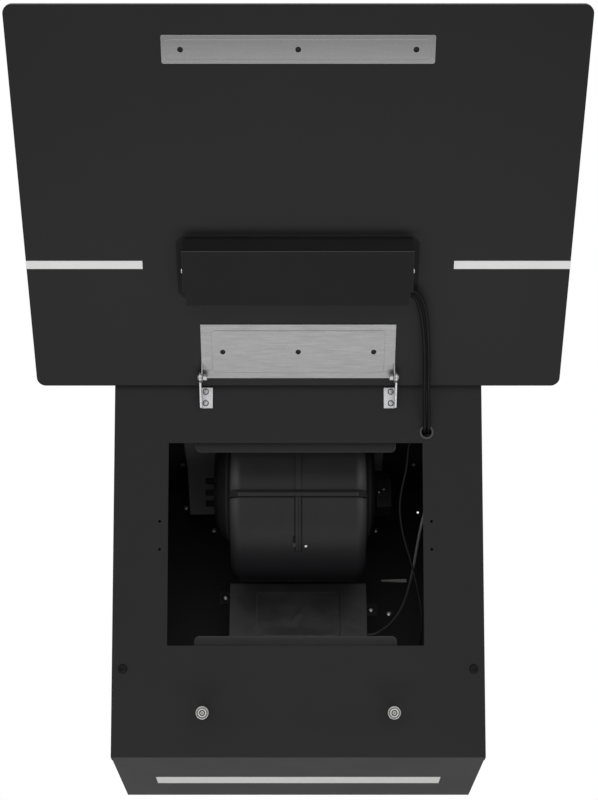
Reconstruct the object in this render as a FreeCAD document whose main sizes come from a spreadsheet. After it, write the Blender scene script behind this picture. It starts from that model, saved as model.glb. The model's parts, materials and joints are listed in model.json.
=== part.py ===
import FreeCAD, Part
import math
import os
import re

import Sketcher

# Angled wall hood with its glass front swung open, in millimetres.
# Frame: +X right, +Y into the wall, +Z up, origin at the middle of the wall fixing holes.

os.makedirs("parts", exist_ok=True)
doc = FreeCAD.newDocument("range_hood")

SIZES = {
    # casing of folded sheet
    "body_width": 420.0,
    "body_height": 409.0,
    "underside_depth": 185.5,
    "top_depth": 348.4,
    "sheet": 0.8,
    "fascia_return": 12.0,
    "screw_flange": 24.0,
    "flange_setback": 20.0,
    # wall fixing holes
    "fixing_height": 260.0,
    "fixing_span": 370.0,
    "fixing_rise": 240.0,
    "fixing_hole_radius": 4.0,
    # filter opening in the fascia
    "opening_width": 290.0,
    "opening_length": 229.0,
    "opening_low": 123.7,
    "opening_shift": -3.0,
    "pilot_radius": 1.6,
    "pilot_beside": 9.5,
    "pilot_low": 231.7,
    "pilot_pitch": 31.7,
    "ledge_length": 230.0,
    "ledge_overlap": 10.2,
    "ledge_hidden": 20.0,
    "ledge_flange": 12.0,
    "ledge_set": 8.4,
    "ledge_corner": 6.0,
    # screws and the clearance round their shanks
    "screw_clearance": 0.1,
    "fascia_screw_across": 395.4,
    "fascia_screw_up": 97.8,
    "fascia_head_radius": 5.1,
    "fascia_head_height": 2.6,
    "fascia_shank_radius": 2.0,
    "fascia_socket_radius": 2.0,
    "shank_length": 8.0,
    "pan_head_radius": 3.4,
    "pan_head_height": 2.2,
    "pan_shank_radius": 1.75,
    "pan_drive_radius": 1.2,
    # hinge
    "hinge_up": 425.4,
    "hinge_out": 24.0,
    "open_angle": 145.56,
    "pivot_off_glass": 8.0,
    "pivot_radius": 2.5,
    "pivot_clearance": 0.05,
    "eye_radius": 6.0,
    "hinge_length": 218.6,
    "washer": 0.5,
    "washer_play": 0.05,
    "bracket_sheet": 2.0,
    "bracket_base": 14.0,
    "bracket_low": 392.4,
    "bracket_high": 416.0,
    "arm_foot": 401.0,
    "arm_heel": 8.0,
    "bracket_screw_inset": 6.0,
    "bracket_screw_low": 398.1,
    "bracket_screw_pitch": 13.3,
    "bracket_head_radius": 2.7,
    "bracket_head_height": 1.6,
    "bracket_shank_radius": 1.5,
    "bolt_head_radius": 3.4,
    "bolt_head_height": 2.0,
    "nut_radius": 3.9,
    "nut_height": 5.0,
    # glass front
    "glass_width": 595.2,
    "glass_below_pivot": 15.4,
    "glass_above_pivot": 418.6,
    "glass_thickness": 6.0,
    "glass_corner": 10.0,
    "strip_inner": 170.2,
    "strip_low": 130.2,
    "strip_width": 9.5,
    "strip_thickness": 0.4,
    "plate_sheet": 1.2,
    "emboss": 0.7,
    "emboss_corner": 3.0,
    "hinge_plate_low": -4.6,
    "hinge_plate_high": 62.9,
    "hinge_emboss_inset": 12.4,
    "hinge_emboss_rim": 7.5,
    "plate_hole_radius": 3.0,
    "hinge_hole_across": 170.0,
    "hinge_hole_up": 29.0,
    "lug_run": 18.0,
    "strike_length": 279.0,
    "strike_width": 29.5,
    "strike_up": 373.2,
    "strike_rim": 4.6,
    "strike_corner": 2.0,
    "strike_hole_across": 240.0,
    # control box on the glass
    "control_shift": -0.4,
    "tray_length": 265.0,
    "tray_low": 95.2,
    "tray_high": 169.5,
    "tray_chamfer": 7.0,
    "tray_ear": 14.0,
    "tray_ear_height": 20.0,
    "cover_length": 249.4,
    "cover_low": 98.7,
    "cover_high": 165.5,
    "cover_slope": 2.5,
    "cover_height": 28.0,
    "cover_notch": 3.0,
    "cover_notch_run": 16.0,
    "cover_screw_up": 134.4,
    "cover_screw_height": 15.0,
    "board": 1.6,
    "board_length": 230.0,
    "board_width": 57.0,
    "board_margin": 5.0,
    "plug_face": 112.0,
    "plug_length": 12.0,
    "plug_low": 101.5,
    "plug_width": 12.0,
    "plug_height": 12.0,
    # catches
    "catch_across": 212.2,
    "catch_gap": 0.4,
    "catch_cup_radius": 7.15,
    "catch_cup_height": 8.0,
    "catch_rim": 1.1,
    "catch_stem_radius": 3.4,
    "magnet_radius": 5.0,
    "magnet_depth": 3.0,
    "magnet_hole_radius": 1.9,
    # cable and its grommet
    "cable_radius": 2.0,
    "lamp_lead_radius": 1.25,
    "power_lead_radius": 1.6,
    "twin_gap": 0.2,
    "lamp_entry_behind": 4.3,
    "grommet_across": 146.6,
    "grommet_up": 365.0,
    "grommet_bore": 5.6,
    "grommet_barrel": 6.6,
    "grommet_flange": 8.3,
    "grommet_lip": 2.0,
    "grommet_fit": 0.05,
    # lamp in the underside
    "lamp_length": 334.4,
    "lamp_width": 30.8,
    "lamp_from_wall": 77.2,
    "lamp_fit": 0.15,
    "diffuser_lip": 4.0,
    "diffuser_lip_height": 2.0,
    "lamp_wall": 1.2,
    "lamp_height": 12.0,
    "lamp_board_width": 12.0,
    # blower
    "bell_headroom": 4.2,
    "blower_from_wall": 178.0,
    "housing_radius": 90.0,
    "housing_width": 160.0,
    "housing_wall": 2.5,
    "housing_edge": 12.0,
    "seam_tilt": 13.3,
    "seam_flange": 2.5,
    "seam_thickness": 3.0,
    "seam_inset": 1.0,
    "rib_width": 6.6,
    "rib_height": 2.0,
    "rib_drop": 63.0,
    "fan_rise": 27.0,
    "inlet_radius": 48.0,
    "throat_across": 120.0,
    "throat_depth": 110.0,
    "mount_lug": 20.0,
    "mount_lug_across": 100.0,
    "mount_lug_up": 42.0,
    "clip_length": 9.0,
    "clip_wall": 0.8,
    "clip_fit": 0.1,
    "housing_screw_across": 8.9,
    "housing_screw_turn": 53.0,
    "left_bell_flare": 14.0,
    "left_bell_nose": 7.0,
    "right_bell_flare": 8.0,
    "right_bell_nose": 4.0,
    "bell_radius": 70.0,
    "bell_shoulder": 58.0,
    "bell_mouth": 42.0,
    "bell_wall": 2.0,
    "prong_length": 10.0,
    "prong_width": 7.0,
    "prong_thickness": 3.0,
    "prong_turn": 104.0,
    "prong_step": 19.0,
    "mount_plate_left": 144.5,
    "mount_plate_foot": 138.0,
    "mount_plate_right": 109.0,
    "mount_plate_drop": 72.0,
    "mount_plate_sheet": 1.5,
    "mount_fold_width": 60.0,
    "mount_fold_right": 36.0,
    "mount_fold_depth": 110.0,
    "wheel_radius": 55.0,
    "wheel_inner": 44.0,
    "wheel_width": 136.0,
    "wheel_ring": 2.5,
    "wheel_disc": 3.0,
    "wheel_hub_radius": 12.0,
    "wheel_hub_length": 22.0,
    "blade_count": 36,
    "blade": 1.4,
    "blade_lead": 5.0,
    "shaft_radius": 4.0,
    "shaft_clearance": 0.05,
    "shaft_bearing": 30.0,
    "motor_radius": 37.0,
    "motor_cap_radius": 20.0,
    "motor_cap_length": 24.0,
    "motor_start": 14.0,
    "motor_end": 88.0,
    "bracket_ring": 10.0,
    "bracket_plate": 2.0,
    "bracket_arm": 14.0,
    "bracket_arms": 3,
    "motor_fit": 0.1,
    "terminal_length": 18.0,
    "terminal_depth": 9.0,
    "terminal_height": 36.0,
    "terminal_drop": 20.0,
    "pin_radius": 0.9,
    "pin_length": 6.0,
    "pin_pitch": 6.0,
    # electronics under the blower
    "electronics_width": 173.0,
    "electronics_low": 140.0,
    "electronics_tall": 114.0,
    "electronics_deep": 54.0,
    "electronics_wall": 1.5,
    "lid_emboss_width": 105.0,
    "lid_emboss_tall": 58.0,
    "lid_emboss_low": 44.0,
    "lid_emboss": 1.5,
    "lug_width": 16.0,
    "lug_height": 17.0,
    "left_lug_up": 254.5,
    "right_lug_up": 238.0,
    "capacitor_radius": 16.0,
    "capacitor_length": 60.0,
    "strap_length": 33.0,
    "strap_start": 109.0,
    "strap_up": 278.0,
    "strap_wide": 4.5,
    "strap_narrow": 2.2,
    "strap_thickness": 3.0,
    "back_screw_across": 216.0,
    "back_screw_shift": -4.5,
    "back_screw_up": 350.0,
    "low_screw_across": 118.0,
    "low_screw_up": 233.0,
    "side_screw_across": 151.0,
    "side_screw_up": 383.0,
    "spare_hole_across": 160.7,
    "spare_hole_up": 376.0,
    "spare_hole_radius": 1.5,
    "top_screw_across": 301.0,
    "top_screw_from_wall": 84.5,
    # outlet
    "collar_radius": 75.0,
    "collar_wall": 2.0,
    "collar_height": 42.0,
    "collar_flange": 14.0,
    "collar_plate": 2.0,
    "collar_screw_ring": 82.5,
    "collar_screws": 4,
    "damper_up": 16.0,
    "damper_pin_radius": 2.0,
    "damper_clearance": 0.05,
    "damper_gap": 1.0,
    "flap_sheet": 1.2,
    "flap_drop": 2.4,
    "knuckle_radius": 3.5,
    "knuckle_length": 16.0,
    "knuckle_step": 20.0,
    "seat_width": 3.0,
    "seat_height": 2.0,
    "seat_gap": 0.3,
}

sheet = doc.addObject("Spreadsheet::Sheet", "Sizes")
for row, (name, value) in enumerate(SIZES.items(), start=1):
    sheet.set(f"A{row}", name)
    sheet.set(f"B{row}", str(value))
    sheet.setAlias(f"B{row}", name)
doc.recompute()
size = {name: float(sheet.get(name)) for name in SIZES}

# Formulas that several pieces share.
SLOPE = "((top_depth - underside_depth) / body_height)"
BEHIND = f"(sheet * sqrt(1 + {SLOPE}^2))"
FASCIA_LENGTH = f"(body_height * sqrt(1 + {SLOPE}^2))"
INSIDE = "(body_width / 2 - 2 * sheet)"
OPENING_LEFT = "(opening_shift - opening_width / 2)"
OPENING_RIGHT = "(opening_shift + opening_width / 2)"
OPENING_HIGH = "(opening_low + opening_length)"
ARM_INNER = "(hinge_length / 2 + washer + 2 * washer_play)"
ARM_OUTER = f"({ARM_INNER} + bracket_sheet)"
FACE_GAP = "(hinge_out + pivot_off_glass)"
CATCH_HEIGHT = f"({FACE_GAP} - plate_sheet - emboss - catch_gap)"
HOUSING_END = "(housing_width / 2)"
BLOWER_TO_TOP = "(fan_rise + bell_radius + bell_headroom)"
FASCIA_HOLE = "(fascia_shank_radius + screw_clearance)"
BRACKET_HOLE = "(bracket_shank_radius + screw_clearance)"
PAN_HOLE = "(pan_shank_radius + screw_clearance)"
PIVOT_HOLE = "(pivot_radius + pivot_clearance)"
PIN_HOLE = "(damper_pin_radius + damper_clearance)"

Vector = FreeCAD.Vector
Rotation = FreeCAD.Rotation
Placement = FreeCAD.Placement
ALONG_X = Vector(1, 0, 0)
ALONG_Z = Vector(0, 0, 1)
TURN = {
    "x": Rotation(Vector(0, 1, 0), 90),
    "y": Rotation(ALONG_X, -90),
    "z": Rotation(),
}

# Frames: the casing, the sloping fascia, the open glass, the wall, the ceiling and the blower.
lean = math.degrees(math.atan2(size["top_depth"] - size["underside_depth"], size["body_height"]))


def shift(x, y, z):
    return Placement(Vector(x, y, z), Rotation())


def turned(angle):
    return Placement(Vector(), Rotation(ALONG_X, angle))


CASING = shift(0, 0, -size["fixing_height"])
FASCIA_IN_CASING = shift(0, -size["underside_depth"], 0) * turned(90 + lean)
FASCIA = CASING * FASCIA_IN_CASING
PIVOT = FASCIA.multVec(Vector(0, size["hinge_up"], size["hinge_out"]))
panel_turn = 270 + lean - size["open_angle"]
PANEL = Placement(PIVOT, Rotation(ALONG_X, panel_turn)) * shift(0, 0, -size["pivot_off_glass"])
WALL = CASING * turned(90)
CEILING = CASING * shift(0, 0, size["body_height"]) * turned(180)
fan_below_top = size["sheet"] + size["bell_headroom"] + size["bell_radius"]
BLOWER_UP = size["body_height"] - fan_below_top - size["fan_rise"]
BLOWER = CASING * shift(0, -size["blower_from_wall"], BLOWER_UP)
FAN = BLOWER * shift(0, 0, size["fan_rise"])
SEAM = turned(size["seam_tilt"])
COLLAR = CASING * shift(0, -size["blower_from_wall"], size["body_height"])

nodes = {}


def formula(text):
    """Points every size named in a formula at its cell of the sheet."""
    def cell(found):
        word = found.group()
        return "Sizes." + word if word in SIZES else word
    return re.sub(r"[a-z_]+", cell, text)


def bind(item, name, text):
    item.setExpression(name, formula(text))


def start_at(item, corner):
    for edge, text in zip("xyz", corner):
        bind(item, f"Placement.Base.{edge}", text)


def block(low, high):
    """A box between two corners, each given as three formulas."""
    item = doc.addObject("Part::Box", "Block")
    for side, first, last in zip(("Length", "Width", "Height"), low, high):
        bind(item, side, f"({last}) - ({first})")
    start_at(item, low)
    return item


def rod(axis, start, radius, length):
    item = doc.addObject("Part::Cylinder", "Rod")
    item.Placement = Placement(Vector(), TURN[axis])
    bind(item, "Radius", radius)
    bind(item, "Height", length)
    start_at(item, start)
    return item


def cone(axis, start, first_radius, last_radius, length):
    item = doc.addObject("Part::Cone", "Cone")
    item.Placement = Placement(Vector(), TURN[axis])
    bind(item, "Radius1", first_radius)
    bind(item, "Radius2", last_radius)
    bind(item, "Height", length)
    start_at(item, start)
    return item


def join(*items):
    item = doc.addObject("Part::MultiFuse", "Join")
    item.Shapes = items
    item.Refine = True
    return item


def cut(base, *tools):
    item = doc.addObject("Part::Cut", "Cut")
    item.Base = base
    item.Tool = tools[0] if len(tools) == 1 else join(*tools)
    return item


def overlap(first, second):
    item = doc.addObject("Part::Common", "Overlap")
    item.Base = first
    item.Tool = second
    return item


def placed(frame, *items):
    item = doc.addObject("Part::Compound", "Placed")
    item.Links = items
    item.Placement = frame
    return item


def rounded_block(low, high, corner):
    """A box whose four upright edges are rounded."""
    (x_low, y_low, z_low), (x_high, y_high, z_high) = low, high
    left, right = f"({x_low}) + {corner}", f"({x_high}) - {corner}"
    near, far = f"({y_low}) + {corner}", f"({y_high}) - {corner}"
    height = f"({z_high}) - ({z_low})"
    pillars = [rod("z", (x, y, z_low), corner, height) for x in (left, right) for y in (near, far)]
    along = block((left, y_low, z_low), (right, y_high, z_high))
    across = block((x_low, near, z_low), (x_high, far, z_high))
    return join(along, across, *pillars)


def rounded_rod(start, radius, length, edge):
    """A rod along X with both rims rounded."""
    base = rod("x", start, radius, length)
    doc.recompute()
    item = doc.addObject("Part::Fillet", "RoundRim")
    item.Base = base
    rims = [n for n, rim in enumerate(base.Shape.Edges, start=1) if rim.isClosed()]
    item.Edges = [(n, edge, edge) for n in rims]
    return item


# A sketch is drawn at this radius, in millimetres, before its formulas take hold.
FIRST_RADIUS = 10


def sketch_on(body, plane, offset):
    sketch = body.newObject("Sketcher::SketchObject", "Outline")
    support = [feature for feature in body.Origin.OriginFeatures if feature.Role == plane]
    sketch.AttachmentSupport = (support[0], "")
    sketch.MapMode = "FlatFace"
    bind(sketch, "AttachmentOffset.Base.z", offset)
    return sketch


def draw_polygon(sketch, points):
    """Closed outline that starts as a ring, which pins with formulas then pull into shape."""
    count = len(points)
    turns = [2 * math.pi * n / count for n in range(count)]
    ring = [Vector(math.cos(turn), math.sin(turn), 0) * FIRST_RADIUS for turn in turns]
    for n in range(count):
        sketch.addGeometry(Part.LineSegment(ring[n], ring[(n + 1) % count]), False)
    for n in range(count):
        sketch.addConstraint(Sketcher.Constraint("Coincident", n, 2, (n + 1) % count, 1))
    for n, corner in enumerate(points):
        for way, text, first in zip(("DistanceX", "DistanceY"), corner, ring[n]):
            pin = sketch.addConstraint(Sketcher.Constraint(way, -1, 1, n, 1, first))
            bind(sketch, f"Constraints[{pin}]", text)


def draw_circle(sketch, radius):
    ring = sketch.addGeometry(Part.Circle(Vector(), ALONG_Z, FIRST_RADIUS), False)
    sketch.addConstraint(Sketcher.Constraint("Coincident", ring, 3, -1, 1))
    pin = sketch.addConstraint(Sketcher.Constraint("Radius", ring, FIRST_RADIUS))
    bind(sketch, f"Constraints[{pin}]", radius)


def pad(body, sketch, length, middle=False):
    item = body.newObject("PartDesign::Pad", "Pad")
    item.Profile = sketch
    item.Midplane = middle
    bind(item, "Length", length)
    return item


def prism(plane, points, start, length):
    """A polygon padded off one of the three origin planes."""
    body = doc.addObject("PartDesign::Body", "Prism")
    sketch = sketch_on(body, plane, start)
    draw_polygon(sketch, points)
    pad(body, sketch, length)
    return body


def node(label, frame, *items):
    item = placed(frame, *items)
    item.Label = label
    nodes[label] = item


def span(side, inner, outer):
    """Formulas for the same stretch on the right (1) or, mirrored, on the left (-1)."""
    return (inner, outer) if side > 0 else (f"-({outer})", f"-({inner})")


def signed(side, text):
    return text if side > 0 else f"-({text})"


def screw(seat, head_radius, head_height, shank_radius, drive_radius, length):
    """A screw along Z whose head sits at the seat, with a drive recess half the head deep."""
    x, y, z = seat
    head = rod("z", seat, head_radius, head_height)
    shank = rod("z", (x, y, f"({z}) - ({length})"), shank_radius, length)
    drive = rod("z", (x, y, f"({z}) + {head_height} / 2"), drive_radius, head_height)
    return cut(join(head, shank), drive)


def pan_screw(seat, length):
    return screw(seat, "pan_head_radius", "pan_head_height", "pan_shank_radius", "pan_drive_radius", length)


def hole(x, y, low, radius, depth):
    return rod("z", (x, y, low), radius, depth)


# Casing: side panels with a screw flange behind the fascia.
def side_panel(side):
    outline = [
        (f"-underside_depth + {BEHIND}", "0"),
        ("0", "0"),
        ("0", "body_height"),
        (f"-top_depth + {BEHIND}", "body_height"),
    ]
    low, high = span(side, INSIDE, f"{INSIDE} + sheet")
    plate = prism("YZ_Plane", outline, low, f"({high}) - ({low})")
    flange_low, flange_high = span(side, f"{INSIDE} - screw_flange", INSIDE)
    flange = block(
        (flange_low, "flange_setback", "-2 * sheet"),
        (flange_high, f"{FASCIA_LENGTH} - flange_setback", "-sheet"),
    )
    screw_hole = hole(
        signed(side, "fascia_screw_across / 2"), "fascia_screw_up", "-3 * sheet", FASCIA_HOLE, "3 * sheet",
    )
    return join(plate, placed(FASCIA_IN_CASING, cut(flange, screw_hole)))


node("left_side_panel", CASING, side_panel(-1))
node("right_side_panel", CASING, side_panel(1))

# Underside, with the slot that the lamp diffuser fills.
underside = block(
    (f"-{INSIDE}", f"-underside_depth + {BEHIND}", "0"),
    (INSIDE, "-sheet", "sheet"),
)
lamp_slot = block(
    ("-lamp_length / 2 - lamp_fit", "-lamp_from_wall - lamp_width / 2 - lamp_fit", "-sheet"),
    ("lamp_length / 2 + lamp_fit", "-lamp_from_wall + lamp_width / 2 + lamp_fit", "2 * sheet"),
)
node("underside_panel", CASING, cut(underside, lamp_slot))

# Back panel, with the four wall fixing holes and the holes for the screws that pass through it.
back = block((f"-{INSIDE}", "0", "0"), (INSIDE, "body_height", "sheet"))
fixing_holes = [
    hole(f"{x} * fixing_span / 2", f"fixing_height + {y} * fixing_rise / 2",
         "-sheet", "fixing_hole_radius", "3 * sheet")
    for x in (-1, 1)
    for y in (-1, 1)
]
BACK_SCREWS = [
    ("back_screw_shift - back_screw_across / 2", "back_screw_up"),
    ("back_screw_shift + back_screw_across / 2", "back_screw_up"),
    ("low_screw_across", "low_screw_up"),
    ("-side_screw_across", "side_screw_up"),
]
LUG_SCREWS = [
    ("-electronics_width / 2 - lug_width / 2", "left_lug_up"),
    ("electronics_width / 2 + lug_width / 2", "right_lug_up"),
]
back_screw_holes = [hole(x, y, "-sheet", PAN_HOLE, "3 * sheet") for x, y in BACK_SCREWS + LUG_SCREWS]
spare_hole = hole("spare_hole_across", "spare_hole_up", "-sheet", "spare_hole_radius", "3 * sheet")
node("back_panel", WALL, cut(back, *fixing_holes, *back_screw_holes, spare_hole))

# Top panel, with the outlet hole and the holes for the blower mount's screws.
top = block(
    (f"-{INSIDE}", "sheet", "0"),
    (INSIDE, f"top_depth - {BEHIND} - sheet * {SLOPE}", "sheet"),
)
outlet = hole("0", "blower_from_wall", "-sheet", "collar_radius - collar_wall", "3 * sheet")
TOP_SCREWS = [(f"{side} * top_screw_across / 2", "top_screw_from_wall") for side in (-1, 1)]
top_holes = [hole(x, y, "-sheet", PAN_HOLE, "3 * sheet") for x, y in TOP_SCREWS]
node("top_panel", CEILING, cut(top, outlet, *top_holes))


# Fascia: a sloping sheet with side returns, the filter opening and all its small holes.
def sloped_strip(front, behind):
    return [
        (f"-({front}) * {SLOPE}", f"-({front})"),
        (f"{FASCIA_LENGTH} - ({front}) * {SLOPE}", f"-({front})"),
        (f"{FASCIA_LENGTH} - ({behind}) * {SLOPE}", f"-({behind})"),
        (f"-({behind}) * {SLOPE}", f"-({behind})"),
    ]


fascia_sheet = prism("YZ_Plane", sloped_strip("0", "sheet"), "-body_width / 2", "body_width")
returns = [
    prism("YZ_Plane", sloped_strip("sheet", "fascia_return"), start, "sheet")
    for start in ("-body_width / 2", "body_width / 2 - sheet")
]
filter_opening = block(
    (OPENING_LEFT, "opening_low", "-2 * sheet"),
    (OPENING_RIGHT, OPENING_HIGH, "sheet"),
)
BRACKET_SCREW_X = f"({ARM_OUTER} - bracket_screw_inset)"
fascia_holes = [
    hole("grommet_across", "grommet_up", "-2 * sheet", "grommet_barrel + grommet_fit", "3 * sheet"),
]
for side in (-1, 1):
    edge = OPENING_LEFT if side < 0 else OPENING_RIGHT
    for step in (0, 1):
        fascia_holes.append(hole(
            f"{edge} + {side} * pilot_beside", f"pilot_low + {step} * pilot_pitch",
            "-2 * sheet", "pilot_radius", "3 * sheet",
        ))
        fascia_holes.append(hole(
            signed(side, BRACKET_SCREW_X), f"bracket_screw_low + {step} * bracket_screw_pitch",
            "-2 * sheet", BRACKET_HOLE, "3 * sheet",
        ))
    fascia_holes.append(hole(
        signed(side, "fascia_screw_across / 2"), "fascia_screw_up",
        "-2 * sheet", FASCIA_HOLE, "3 * sheet",
    ))
    fascia_holes.append(hole(
        signed(side, "catch_across / 2"), "hinge_up - strike_up",
        "-2 * sheet", PAN_HOLE, "3 * sheet",
    ))
node("front_fascia", FASCIA, cut(join(fascia_sheet, *returns), filter_opening, *fascia_holes))



def fascia_screw(side):
    seat = (signed(side, "fascia_screw_across / 2"), "fascia_screw_up", "0")
    return screw(
        seat, "fascia_head_radius", "fascia_head_height",
        "fascia_shank_radius", "fascia_socket_radius", "shank_length",
    )


node("fascia_screws", FASCIA, fascia_screw(-1), fascia_screw(1))


# Filter ledges: joggled strips that catch the filter's upper and lower edge behind the opening.
def filter_ledge(way, edge):
    """way is 1 for the ledge above the opening and -1 for the one below it."""
    left, right = "opening_shift - ledge_length / 2", "opening_shift + ledge_length / 2"
    fold_left, fold_right = f"{left} + ledge_corner", f"{right} - ledge_corner"

    def rows(first, last):
        ends = f"{edge} + {way} * ({first})", f"{edge} + {way} * ({last})"
        return ends if way > 0 else ends[::-1]

    lip_low, lip_high = rows("-ledge_overlap", "ledge_hidden")
    web_low, web_high = rows("ledge_hidden - sheet", "ledge_hidden")
    fold_low, fold_high = rows("ledge_hidden - sheet", "ledge_hidden + ledge_flange")
    lip = rounded_block(
        (left, lip_low, "-ledge_set - sheet"), (right, lip_high, "-ledge_set"), "ledge_corner",
    )
    web = block((fold_left, web_low, "-ledge_set - sheet"), (fold_right, web_high, "-sheet"))
    fold = block((fold_left, fold_low, "-2 * sheet"), (fold_right, fold_high, "-sheet"))
    return join(lip, web, fold)


node("upper_filter_ledge", FASCIA, filter_ledge(1, OPENING_HIGH))
node("lower_filter_ledge", FASCIA, filter_ledge(-1, "opening_low"))

# Magnetic catches that the strike plate closes on.
CUP_FLOOR = f"({CATCH_HEIGHT} - magnet_depth)"
catch_posts = []
catch_magnets = []
for side in (-1, 1):
    x = signed(side, "catch_across / 2")
    y = "hinge_up - strike_up"
    stem = rod("z", (x, y, "0"), "catch_stem_radius", f"{CATCH_HEIGHT} - catch_cup_height")
    shank = rod("z", (x, y, "-shank_length"), "pan_shank_radius", "shank_length")
    cup = rod("z", (x, y, f"{CATCH_HEIGHT} - catch_cup_height"), "catch_cup_radius", "catch_cup_height")
    recess = rod("z", (x, y, CUP_FLOOR), "catch_cup_radius - catch_rim", "catch_cup_height")
    catch_posts.append(cut(join(stem, shank, cup), recess))
    ring = rod("z", (x, y, CUP_FLOOR), "magnet_radius", "magnet_depth")
    centre = rod("z", (x, y, CUP_FLOOR), "magnet_hole_radius", "2 * magnet_depth")
    catch_magnets.append(cut(ring, centre))
node("catch_posts", FASCIA, *catch_posts)
node("catch_magnets", FASCIA, *catch_magnets)


# Hinge: brackets on the fascia, pivot bolts, nuts and friction washers.
def hinge_bracket(side):
    low, high = span(side, f"{ARM_OUTER} - bracket_base", ARM_OUTER)
    base = block((low, "bracket_low", "0"), (high, "bracket_high", "bracket_sheet"))
    low, high = span(side, ARM_INNER, ARM_OUTER)
    outline = [
        ("bracket_low", "0"),
        ("arm_foot", "0"),
        ("hinge_up", "hinge_out - eye_radius"),
        ("hinge_up - eye_radius", "hinge_out"),
        ("bracket_low", "arm_heel"),
    ]
    arm = prism("YZ_Plane", outline, low, "bracket_sheet")
    eye = rod("x", (low, "hinge_up", "hinge_out"), "eye_radius", "bracket_sheet")
    bore = rod("x", (low, "hinge_up", "hinge_out"), PIVOT_HOLE, "bracket_sheet")
    screw_holes = [
        hole(signed(side, BRACKET_SCREW_X), f"bracket_screw_low + {step} * bracket_screw_pitch",
             "0", BRACKET_HOLE, "bracket_sheet")
        for step in (0, 1)
    ]
    return cut(join(base, arm, eye), bore, *screw_holes)


node("left_hinge_bracket", FASCIA, hinge_bracket(-1))
node("right_hinge_bracket", FASCIA, hinge_bracket(1))


def bracket_screw(side, step):
    up = f"bracket_screw_low + {step} * bracket_screw_pitch"
    return screw(
        (signed(side, BRACKET_SCREW_X), up, "bracket_sheet"), "bracket_head_radius", "bracket_head_height",
        "bracket_shank_radius", "pan_drive_radius", "shank_length",
    )


bracket_screws = [bracket_screw(side, step) for side in (-1, 1) for step in (0, 1)]
node("bracket_screws", FASCIA, *bracket_screws)

LUG_INNER = "(hinge_length / 2 - plate_sheet)"
NUT_FACE = f"({LUG_INNER} - 2 * washer_play)"
pivot_bolts = []
pivot_nuts = []
friction_washers = []
for side in (-1, 1):
    low, high = span(side, f"{NUT_FACE} - nut_height", ARM_OUTER)
    shank = rod("x", (low, "hinge_up", "hinge_out"), "pivot_radius", f"({high}) - ({low})")
    low, high = span(side, ARM_OUTER, f"{ARM_OUTER} + bolt_head_height")
    head = rod("x", (low, "hinge_up", "hinge_out"), "bolt_head_radius", "bolt_head_height")
    pivot_bolts.append(join(shank, head))
    low, high = span(side, f"{NUT_FACE} - nut_height", NUT_FACE)
    nut = rod("x", (low, "hinge_up", "hinge_out"), "nut_radius", "nut_height")
    thread = rod("x", (low, "hinge_up", "hinge_out"), PIVOT_HOLE, "nut_height")
    pivot_nuts.append(cut(nut, thread))
    low, high = span(side, "hinge_length / 2 + washer_play", "hinge_length / 2 + washer_play + washer")
    disc = rod("x", (low, "hinge_up", "hinge_out"), "eye_radius", "washer")
    bore = rod("x", (low, "hinge_up", "hinge_out"), PIVOT_HOLE, "washer")
    friction_washers.append(cut(disc, bore))
node("pivot_bolts", FASCIA, *pivot_bolts)
node("pivot_nuts", FASCIA, *pivot_nuts)
node("friction_washers", FASCIA, *friction_washers)

# Grommet where the cable passes the fascia.
grommet_flange = rod("z", ("grommet_across", "grommet_up", "0"), "grommet_flange", "grommet_lip")
grommet_start = ("grommet_across", "grommet_up", "-sheet - grommet_lip")
grommet_barrel = rod("z", grommet_start, "grommet_barrel", "sheet + grommet_lip")
grommet_bore = rod("z", grommet_start, "grommet_bore", "sheet + 2 * grommet_lip")
node("cable_grommet", FASCIA, cut(join(grommet_flange, grommet_barrel), grommet_bore))

# Lamp: a lipped diffuser in the underside slot, a channel over it and a strip of lights inside.
lamp_y = ("-lamp_from_wall - lamp_width / 2", "-lamp_from_wall + lamp_width / 2")
diffuser = block(("-lamp_length / 2", lamp_y[0], "0"), ("lamp_length / 2", lamp_y[1], "sheet"))
LIP_TOP = "(sheet + diffuser_lip_height)"
diffuser_lip = block(
    ("-lamp_length / 2 - diffuser_lip", f"{lamp_y[0]} - diffuser_lip", "sheet"),
    ("lamp_length / 2 + diffuser_lip", f"{lamp_y[1]} + diffuser_lip", LIP_TOP),
)
node("lamp_diffuser", CASING, join(diffuser, diffuser_lip))

CHANNEL_TOP = f"({LIP_TOP} + lamp_height)"
channel = block(
    ("-lamp_length / 2 - diffuser_lip", f"{lamp_y[0]} - diffuser_lip", LIP_TOP),
    ("lamp_length / 2 + diffuser_lip", f"{lamp_y[1]} + diffuser_lip", CHANNEL_TOP),
)
channel_space = block(
    ("-lamp_length / 2", lamp_y[0], LIP_TOP),
    ("lamp_length / 2", lamp_y[1], f"{CHANNEL_TOP} - lamp_wall"),
)
node("lamp_channel", CASING, cut(channel, channel_space))

lamp_board = block(
    ("-lamp_length / 2", "-lamp_from_wall - lamp_board_width / 2", f"{CHANNEL_TOP} - lamp_wall - board"),
    ("lamp_length / 2", "-lamp_from_wall + lamp_board_width / 2", f"{CHANNEL_TOP} - lamp_wall"),
)
node("lamp_board", CASING, lamp_board)

# Blower housing: a rounded drum with an outlet throat, split along a tilted seam.
INNER_WIDTH = "(housing_width - 2 * housing_wall)"
inner_edge = size["housing_edge"] - size["housing_wall"]


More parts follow.
